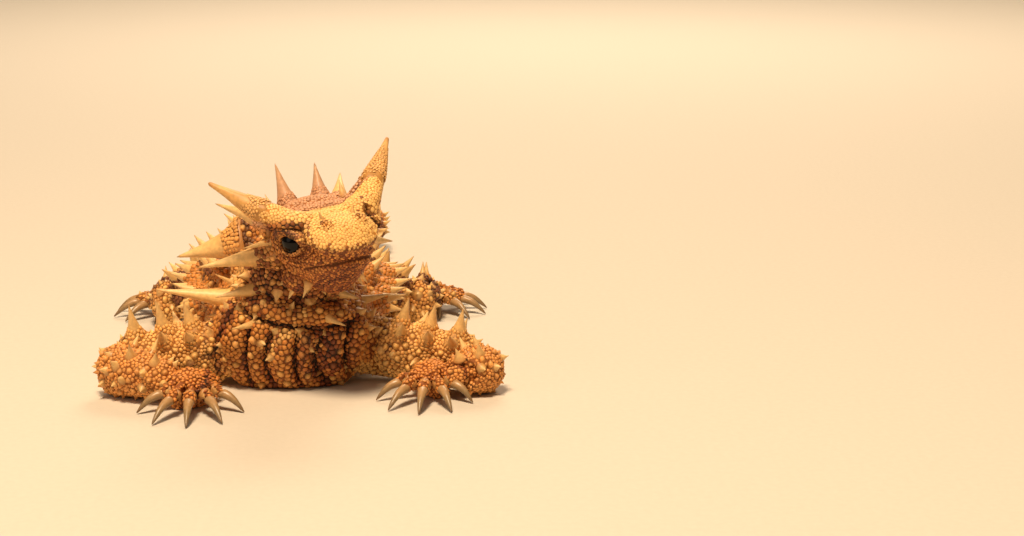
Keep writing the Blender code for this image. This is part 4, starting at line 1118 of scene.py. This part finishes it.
# Small spines between the rows: points strewn over the skin, no two closer than they stand.
SMALL_SPINE_GAPS = np.array((2.7, 2.4, 2.3, 2.3, 2.5, *[2.1] * 13))  # by part, mm
SMALL_SPINES_TRIED, SHORTEST, TALLEST = 9000, 0.8, 1.7  # places, and heights over the hide, mm
skin.data.calc_loop_triangles()
triangles = np.empty(len(skin.data.loop_triangles) * 3, np.int32)
skin.data.loop_triangles.foreach_get("vertices", triangles)
triangles = triangles.reshape(-1, 3)
corners = positions(skin.data)[triangles]
corner_normals = normals(skin.data)[triangles]
areas = np.linalg.norm(np.cross(corners[:, 1] - corners[:, 0], corners[:, 2] - corners[:, 0]), axis=1) / 2


def strewn(count, seed, crowding=1.0):
    """Points spread at random over the skin, more where it is crowded, and the way out at each."""
    draw = np.random.default_rng(seed)
    reached = np.cumsum(areas * crowding, dtype=float)
    face = np.searchsorted(reached, draw.random(count) * reached[-1])
    a, b = draw.random((2, count))
    over = a + b > 1
    a[over], b[over] = 1 - a[over], 1 - b[over]
    weights = np.stack((1 - a - b, a, b), axis=1)[:, :, None]
    out = (corner_normals[face] * weights).sum(axis=1)
    return (corners[face] * weights).sum(axis=1), out / np.linalg.norm(out, axis=1)[:, None]


def apart(points, gaps):
    """Which of the points to keep so that each has its gap round it, mm."""
    around = [(a, b, c) for a in (-1, 0, 1) for b in (-1, 0, 1) for c in (-1, 0, 1)]
    cells = np.floor(points / float(gaps.max())).astype(int).tolist()
    taken, keep = {}, []
    for i, ((kx, ky, kz), (x, y, z), gap) in enumerate(zip(cells, points.tolist(), gaps.tolist())):
        if not any((x - u) ** 2 + (y - v) ** 2 + (z - w) ** 2 < ((gap + other) / 2) ** 2
                   for a, b, c in around for u, v, w, other in taken.get((kx + a, ky + b, kz + c), ())):
            taken.setdefault((kx, ky, kz), []).append((x, y, z, gap))
            keep.append(i)
    return np.array(keep)


def chosen(which, *tables):
    """The same rows of several tables."""
    return [table[which] for table in tables]


def columns(rows):
    """The columns of a table, each as an array."""
    return [np.array(column) for column in zip(*rows)]


def cone_frames(axes):
    """Two directions across each axis, at right angles."""
    helper = np.where(np.abs(axes[:, 2:]) > 0.9, [[1.0, 0, 0]], [[0, 0, 1.0]])
    first = np.cross(helper, axes)
    first /= np.linalg.norm(first, axis=1)[:, None]
    return first, np.cross(axes, first)


def ring_turns(sides):
    """The turn of each corner of a ring, radians."""
    return math.tau * np.arange(sides) / sides


def rings_round(middles, reach, first, second):
    """A ring of corners round each middle, in the plane of two directions; reach says how far out."""
    turns = ring_turns(reach.shape[1])
    return (middles[:, None] + (np.cos(turns) * reach)[:, :, None] * first[:, None]
            + (np.sin(turns) * reach)[:, :, None] * second[:, None])


LOWEST = 0.02  # how near the floor a spine or scale may come, mm
BAKE_REACH = 0.0015  # half the width of the patch that each one has on the flat map


def repeated_piece(name, rings, tips, spans, lifts, at, finish, slot_name, **values):
    """Many like closed cones as one mesh, each of a few rings from the root up and a tip. Each is a
    small patch on the flat map, at its root's place. spans says how wide each ring lies there,
    lifts how far up it counts, and values holds one value for each cone."""
    verts = np.concatenate([*rings, tips[:, None]], axis=1)
    verts[:, :, 2] = np.maximum(verts[:, :, 2], LOWEST)
    (count, size), sides, rows = verts.shape[:2], rings[0].shape[1], len(rings)
    ring = np.arange(sides)
    after = (ring + 1) % sides
    faces = []
    for low in range(0, (rows - 1) * sides, sides):
        a, b, c, d = low + ring, low + after, low + sides + after, low + sides + ring
        faces += [np.stack((a, b, c), axis=1), np.stack((a, c, d), axis=1)]
    top = (rows - 1) * sides
    faces.append(np.stack((top + ring, top + after, np.full(sides, rows * sides)), axis=1))
    faces.append(np.stack((np.zeros(sides - 2, int), ring[2:], ring[1:-1]), axis=1))
    faces = np.concatenate(faces)
    loops = (faces[None] + (np.arange(count) * size)[:, None, None]).reshape(-1)
    mesh = bpy.data.meshes.new(name)
    mesh.vertices.add(count * size)
    mesh.vertices.foreach_set("co", (verts * MM).astype(np.float32).ravel())
    mesh.loops.add(len(loops))
    mesh.loops.foreach_set("vertex_index", loops.astype(np.int32))
    mesh.polygons.add(len(loops) // 3)
    mesh.polygons.foreach_set("loop_start", np.arange(0, len(loops), 3, dtype=np.int32))
    mesh.update(calc_edges=True)
    mesh.validate()

    turns = np.append(np.tile(ring_turns(sides), rows), 0.0)
    far = np.append(np.repeat(spans, sides), 0.0)
    patch = BAKE_REACH * np.stack((np.cos(turns) * far, np.sin(turns) * far), axis=1)
    flat = (at[:, None, :] + patch[None]).reshape(-1, 2)[loops].reshape(-1, 3, 2)
    under = np.tile(np.arange(len(faces)) >= len(faces) - (sides - 2), count)
    flat[under] = flat[under][:, :1]  # what faces into the hide takes no room on the map
    mesh.uv_layers.new(name="OFBake").data.foreach_set("uv", flat.astype(np.float32).ravel())
    set_values(mesh, "lift", np.tile(np.append(np.repeat(lifts, sides), 1.0), count))
    for key, value in values.items():
        set_values(mesh, key, np.repeat(value, size, axis=0))
    return add_piece(mesh, finish)


points, out = strewn(SMALL_SPINES_TRIED, seed=11)
places = body_places(points)
part = places[:, 0].astype(int)
points, out, part = chosen(apart(points, SMALL_SPINE_GAPS[part]), points, out, part)
roots, _, radii = columns([row for rows in spines.values() for row in rows])
clear = (np.linalg.norm(points[:, None] - roots[None], axis=2) > radii[None] + 1.3).all(axis=1)
clear &= ((out[:, 2] > -0.35) | (points[:, 2] > 12)) & (points[:, 2] > 2.2)
x, y, z, aside = in_head(points)
bare_face = (y < 0.8) | ((z > 4.5) & (y < 6.0)) | ((aside[:, 0] > 5.5) & (z < 5.0) & (y < 7.0))
clear &= ~((part == SKULL_PART) & bare_face) & ~np.isin(part, PAW_PARTS)
clear &= (part != TORSO_PART) | (in_plan(points)[1] > 3.0)
points, out, part = chosen(clear, points, out, part)
draw = np.random.default_rng(5)
for group, parts in (("head", (SKULL_PART,)), ("neck", (NECK_PART, HUMP_PART)),
                     ("trunk", (TORSO_PART,)), ("tail", TAIL_PARTS), ("limbs", ARM_PARTS + LEG_PARTS)):
    for p, n in zip(*chosen(np.isin(part, parts), points, out)):
        tall = draw.uniform(SHORTEST, TALLEST)
        spines[group].append((Vector(p) - Vector(n) * 0.15, Vector(p) + Vector(n) * tall
                              + Vector(draw.normal(0, 0.12, 3)), 0.5 + 0.3 * tall))
for name, middle, way, reach in toe_lines:  # the long scale that lies over the root of each claw
    root = CHEST_AT + middle + way * reach * 0.44
    root.z = 3.2
    spines["limbs"].append((root, root + way * 2.5 + Vector((0, 0, -0.1)), 0.95))

SPINE_SIDES = 12
SPINE_SHARES = (-0.10, 0.0, 0.07, 0.17, 0.30, 0.46, 0.64, 0.82, 0.94)  # each ring's place and width
SPINE_WIDTHS = (1.20, 1.10, 0.93, 0.76, 0.58, 0.42, 0.27, 0.14, 0.065)
spine_finish = keratin("matt_spine_keratin", ("#c08648", "#efbf76", "#f4c985", "#c9904e"), 0.46)
rosy_finish = keratin("rosy_spine_keratin", ("#b27c5a", "#d5a078", "#e0b084", "#b8855e"), 0.48)
for group, rows in spines.items():
    roots, tips, radii = columns(rows)
    axes = tips - roots
    across = cone_frames(axes / np.linalg.norm(axes, axis=1)[:, None])
    keels, turns = draw.uniform(0, math.tau, (len(rows), 2)), ring_turns(SPINE_SIDES)[None]
    keeled = 1 + 0.04 * np.cos(3 * turns + keels[:, :1]) + 0.02 * np.cos(5 * turns + keels[:, 1:])
    rings = [rings_round(roots + axes * share, radii[:, None] * wide * keeled, *across)
             for share, wide in zip(SPINE_SHARES, SPINE_WIDTHS)]
    lifts = np.clip(SPINE_SHARES, 0, 1)
    repeated_piece(f"spines_{group}", rings, tips, 1 - 0.9 * lifts, lifts,
                   flat_places(body_places(roots)), rosy_finish if group == "crown" else spine_finish,
                   "spine_pale", tone=draw.random(len(rows)))

# Scales
# Grains of horn set close over all of the hide, each a low dome whose outline meets those of its
# neighbours, with a dark groove between. They are finest on lids, lips and toes.
SCALE_GAPS = np.array((0.68, 0.39, 0.55, 0.58, 0.66, 0.58, 0.52, 0.52, 0.58, 0.58, 0.47, 0.47, 0.52,
                       0.52, *[0.54] * 4))  # by part, mm


def scale_keratin():
    """Small horny scales, dry: lighter on top, partly from wear and partly painted light, and darker
    toward the groove, painted shade.
    """
    made, tree, shader = new_material("dry_scale_keratin")
    colour, place = hide_colours(tree)
    lift = add_node(tree, "ShaderNodeAttribute", attribute_name="lift")
    soot = add_node(tree, "ShaderNodeAttribute", attribute_name="soot")
    # Painted shade: each scale darker toward its groove, and darker and more orange all over where painted
    # shade and dust lie heavy.
    depth = add_node(tree, "ShaderNodeMapRange", {
        "Value": soot.outputs["Fac"], "To Min": 0.84, "To Max": 0.10})
    top = add_node(tree, "ShaderNodeMapRange", {
        "Value": soot.outputs["Fac"], "From Min": 0.55, "To Min": 1.08, "To Max": 0.34})
    worn = add_node(tree, "ShaderNodeMapRange", {
        "Value": lift.outputs["Fac"], "From Max": 0.8, "To Min": depth.outputs["Result"],
        "To Max": top.outputs["Result"]})
    shade_and_dust_tint = add_node(tree, "ShaderNodeMapRange", {
        "Value": soot.outputs["Fac"], "From Min": 0.45, "To Max": 0.9})
    shade_and_dust_tinted = add_node(tree, "ShaderNodeMix", {
        "Factor": shade_and_dust_tint.outputs["Result"], "B": hex_colour("#f0a878"),
        "A": shaded(tree, colour, worn.outputs["Result"], 0.80, 1.12)},
        data_type="RGBA", blend_type="MULTIPLY")
    # Dust of about 0.24 mm, coarse enough to show.
    dust = add_node(tree, "ShaderNodeTexNoise", {"Vector": place, "Scale": 4200.0, "Detail": 2.0})
    finish_surface(tree, shader, shade_and_dust_tinted.outputs["Result"], dust.outputs["Fac"], 0.3, 0.00006, 0.55, 1.52)
    return made


def scale_gaps(points, part):
    """How far apart the scales stand at each point, mm."""
    gaps = SCALE_GAPS[part]
    x, y, z, aside = in_head(points)
    brow = from_line(aside, (8.8, -0.9, 5.8), (6.2, -4.0, 4.2)) < 2.2
    eyelids = np.linalg.norm(aside - EYE_AT, axis=1) < 3.3
    lips = (y < -3.0) & (np.abs(z - mouth_height(y)) < 2.4)
    crown = (y > -1.2) & (y < 6.0) & (z > 4.6)
    for on, gap in ((y > -1.2, 0.50), (crown, 0.42), ((y > -9.0) & brow, 0.62), (eyelids, 0.29),
                    (lips, 0.35)):
        gaps[on & (part == SKULL_PART)] = gap
    return gaps


SCALES_TRIED = 380000
centres = corners.mean(axis=1)
face_gaps = scale_gaps(centres, body_places(centres)[:, 0].astype(int))
points, out = strewn(SCALES_TRIED, seed=3, crowding=1 / face_gaps**2)
places = body_places(points)
part = places[:, 0].astype(int)
gaps = scale_gaps(points, part)

# Some on the body are large and stand well apart from each other: the first places are tried.
LARGE_TRIED = 16000
px, py, pz = in_plan(points[:LARGE_TRIED])
early = part[:LARGE_TRIED]
fits = ~np.isin(early, (SKULL_PART, *PAW_PARTS))
fits &= (py > 2.5) | (chest_folds(px, pz) > 0.8) | (early != TORSO_PART)
large = np.nonzero(fits)[0]
spacing = np.where(np.isin(part[large], (TORSO_PART, TAIL_PARTS[0])), 2.1, 1.6)
large = large[apart(points[large], spacing)]
gaps[large] = np.where(part[large] == TORSO_PART, 1.25, 1.05)  # their own size, mm
order = np.concatenate((large, np.setdiff1d(np.arange(len(points)), large)))
points, out, places, gaps = chosen(order, points, out, places, gaps)

# The mouth, nostrils, ears and eyes, what lies on the floor and what is inside a spine stay bare.
x, y, z, aside = in_head(points)
bare = (places[:, 0] == SKULL_PART) & (y < -3.4)
bare &= (np.abs(z - mouth_height(y)) < 0.24) & (aside[:, 0] < 9)
for at, size in ((NOSTRIL_AT, 0.5), (EAR_AT, 1.15), (EYE_AT, EYE_RADIUS + 0.2)):
    bare |= np.linalg.norm(aside - at, axis=1) < size
bare |= (points[:, 2] < 0.35) & (out[:, 2] < -0.3)


def nearest(points, others, count):
    """For each point, the places in the list of the others nearest to it, the nearest first."""
    tree = tree_of(others)
    return np.array([[found[1] for found in tree.find_n(p, count)] for p in points])


roots, tips, radii = columns([row for rows in spines.values() for row in rows])
for j in nearest(points, roots, 3).T:
    way = (tips - roots)[j]
    share = ((points - roots[j]) * way).sum(axis=1) / (way**2).sum(axis=1)
    off = np.linalg.norm(points - roots[j] - way * share[:, None], axis=1)
    bare |= (np.abs(share - 0.45) < 0.55) & (off < radii[j] * np.interp(share, SPINE_SHARES, SPINE_WIDTHS))
points, out, places, gaps = chosen(~bare, points, out, places, gaps)

# The great spines wear scales too, up to where their smooth horn starts.
ON_CONES, GREAT = 52000, 1.0  # places tried on them, and their least root radius, mm
hide = BVHTree.FromPolygons(positions(skin.data).tolist(), triangles.tolist())
roots, axes, wide = chosen(radii > GREAT, roots, tips - roots, radii)
lengths = np.linalg.norm(axes, axis=1)
ways = axes / lengths[:, None]
first, second = cone_frames(ways)
pick = draw.choice(len(wide), ON_CONES, p=wide * lengths / (wide * lengths).sum())
share = draw.random(ON_CONES) ** 1.3 * np.where(wide[pick] < 2.0, 0.34, 0.50) - 0.06
share *= np.clip(6.0 / lengths[pick], 0.5, 1.0)
turned = draw.random(ON_CONES) * math.tau
reach = wide[pick] * np.interp(share, SPINE_SHARES, SPINE_WIDTHS)
away = first[pick] * np.cos(turned)[:, None] + second[pick] * np.sin(turned)[:, None]
on_cone = roots[pick] + axes[pick] * share[:, None] + away * reach[:, None]
off_cone = away + 0.35 * ways[pick]
outside = []
for p in on_cone:
    at, normal, *_ = hide.find_nearest(p)
    outside.append((Vector(p) - at).dot(normal) > 0.05)
on_cone, off_cone, pick, share = chosen(outside, on_cone, off_cone, pick, share)
off_cone /= np.linalg.norm(off_cone, axis=1)[:, None]
cone_places = body_places(roots)[pick]
cone_fade = 1 - 0.7 * np.clip(share / share.max(), 0, 1)
cone_gaps = SCALE_GAPS[cone_places[:, 0].astype(int)] * (0.62 + 0.5 * cone_fade)

# So do the horns, the left one furthest up.
ON_HORN, HORN_START = 6500, 0.06  # places tried on each, and the share of it where they start
horn_rows = []
for side, top in (("left", 0.80), ("right", 0.44)):
    for _ in range(ON_HORN):
        turn = 360 * draw.random()
        ragged = top * (0.90 + 0.10 * math.cos(math.radians(3 * turn)))
        s = HORN_START + (ragged - HORN_START) * draw.random()
        tube = horn_tubes[side]
        horn_rows.append((tube.point(s, turn, -0.03), tube.normal(s, turn), s / top))
on_horns, off_horns, horn_share = columns(horn_rows)

# All that stand on skin, spines and horns, thinned out until each has its gap round it.
ON_SKIN, ON_SPINE, ON_HORNS = 0, 1, 2
points, out, places, gaps, fade, ground = (np.concatenate(tables) for tables in zip(
    (points, out, places, gaps, np.ones(len(points)), np.full(len(points), ON_SKIN)),
    (on_cone, off_cone, cone_places, cone_gaps, cone_fade, np.full(len(on_cone), ON_SPINE)),
    (on_horns, off_horns, body_places(on_horns), 0.50 - 0.16 * horn_share,
     0.95 - 0.6 * horn_share**2, np.full(len(on_horns), ON_HORNS))))
points, out, places, gaps, fade, ground = chosen(
    apart(points, gaps), points, out, places, gaps, fade, ground)

# They are nudged apart until they stand evenly, and set back on the skin.
NUDGES, WANTED = 4, 1.14  # how often, and the spacing to reach, against their gaps
for _ in range(NUDGES):
    near = nearest(points, points, 8)[:, 1:]
    away = points[:, None] - points[near]
    far = np.linalg.norm(away, axis=2)
    want = WANTED * (gaps[:, None] + gaps[near]) / 2
    push = np.clip(want - far, 0, None) / np.maximum(far, 0.1)
    moved = points + 0.33 * (away * push[:, :, None]).sum(axis=1)
    for i in np.nonzero(ground == ON_SKIN)[0]:
        at, normal, *_ = hide.find_nearest(moved[i])
        points[i] = at
        out[i] = 0.6 * out[i] + 0.4 * np.array(normal)
out /= np.linalg.norm(out, axis=1)[:, None]

# Each reaches as far as half way to its neighbours, by their sizes, in eight directions.
SCALE_SIDES = 8
near = nearest(points, points, 10)[:, 1:]
first, second = cone_frames(out)
away = points[near] - points[:, None]
flat = np.stack([(away * across[:, None]).sum(axis=2) for across in (first, second)], axis=2)
turns = np.arctan2(flat[:, :, 1], flat[:, :, 0])
facing = np.maximum(np.cos(ring_turns(SCALE_SIDES) - turns[:, :, None]), 0.04)
own = gaps[:, None] / (gaps[:, None] + gaps[near])
reach = (np.maximum(np.linalg.norm(flat, axis=2), 0.25) * own)[:, :, None] / facing
reach = np.minimum(reach.min(axis=1), gaps[:, None] * 0.8)

# How tall, pointed and dark each is: low and smooth on the face, rough and slanting on the toes,
# and the large ones of the body pale, with a point on the limbs.
part = places[:, 0].astype(int)
marks, soot = markings(points, places), soot_at(points, places)
marks[ground == ON_HORNS], soot[ground == ON_HORNS] = (0.0, 0.75, 0.25, 0.0), 0.35
soot = np.clip(soot * draw.uniform(0.60, 1.25, len(soot)), 0, 1)
tone = draw.random(len(points))
size = reach.mean(axis=1)
tall = size * draw.uniform(0.42, 0.62, len(points)) * (0.35 + 0.65 * fade)
pointed = draw.uniform(0.0, 0.25, len(points))
smooth = (part == SKULL_PART) & (ground == ON_SKIN)
tall[smooth] *= 0.72 - 0.18 * marks[smooth, 1]
tubercle = (gaps > 0.9) & (ground == ON_SKIN)
pointed[tubercle] = draw.uniform(0.1, 0.9, tubercle.sum())
tall[~tubercle] *= 0.85
marks[tubercle, 0] *= 0.5
marks[tubercle, 1] = np.maximum(marks[tubercle, 1], 0.55)
rasp = np.isin(part, PAW_PARTS)
pointed[rasp] = draw.uniform(0.3, 1.1, rasp.sum())
limb = tubercle & np.isin(part, ARM_PARTS + LEG_PARTS)
pointed[limb] = draw.uniform(0.5, 1.5, limb.sum())
marks[limb, 1] = np.maximum(marks[limb, 1], 0.85)
peaked = np.select((limb, tubercle, rasp), (0.34, 0.28, 0.12), 0.0)
lean = np.zeros_like(points)
for first_toe in range(0, len(toe_lines), TOES):
    off_paw = points - np.array(CHEST_AT + toe_lines[first_toe][1])
    on_paw = rasp & (np.linalg.norm(off_paw[:, :2], axis=1) < 13)
    lean[on_paw] = off_paw[on_paw] / np.linalg.norm(off_paw[on_paw], axis=1)[:, None]
lean[:, 2] = -0.3 * np.linalg.norm(lean[:, :2], axis=1)
lean *= (size * draw.uniform(0.5, 1.3, len(size)))[:, None]
x, y, z, _ = in_head(points)
near_edge = bell(z - shield_edge(y) + 0.3, 1.7) * step(-2.6, -4.0, y)
soot[(part == SKULL_PART) & (draw.random(len(points)) < 0.26 * near_edge)] = 1.0  # freckles

ROUND_DOME = ((1.07, 0.92, 0.58), (-0.30, 0.50, 0.88), (0.0, 0.44, 0.86))  # seen near by
PLAIN_DOME = ((1.07, 0.84), (-0.30, 0.62), (0.0, 0.65))  # each ring's width, height and lift
on_back = np.where(np.abs((places[:, 2] + 180) % 360 - 180) < 90, "back_", "belly_")
group_of = np.where(part == SKULL_PART, np.where(y < -1.3, "face", "head"), "tail")
for parts, name in (((NECK_PART, HUMP_PART), "neck"),
                    (TORSO_PART, np.char.add(on_back, np.where(places[:, 2] < 180, "right", "left"))),
                    (ARM_PARTS + HAND_PARTS, "fore_limbs"), (LEG_PARTS + FOOT_PARTS, "hind_limbs")):
    group_of = np.where(np.isin(part, parts), name, group_of)
flat_at = flat_places(places)
scale_finish = scale_keratin()
for group in sorted(set(group_of)):
    on = group_of == group
    middle, up, wide, peak, high, point, slant, *across = chosen(
        on, points, out, reach, peaked, tall, pointed, lean, first, second)
    spans, heights, lifts = ROUND_DOME if group in ("face", "head", "neck") else PLAIN_DOME
    rings = [rings_round(middle + up * (high * rise)[:, None],
                         wide * (share - peak * (share < 0.95))[:, None], *across)
             for share, rise in zip(spans, heights)]
    repeated_piece(f"scales_{group}", rings, middle + slant + up * (high * (1 + point))[:, None],
                   np.array(spans), lifts, flat_at[on], scale_finish, "skin_ochre",
                   tone=tone[on], marks=marks[on], soot=soot[on])
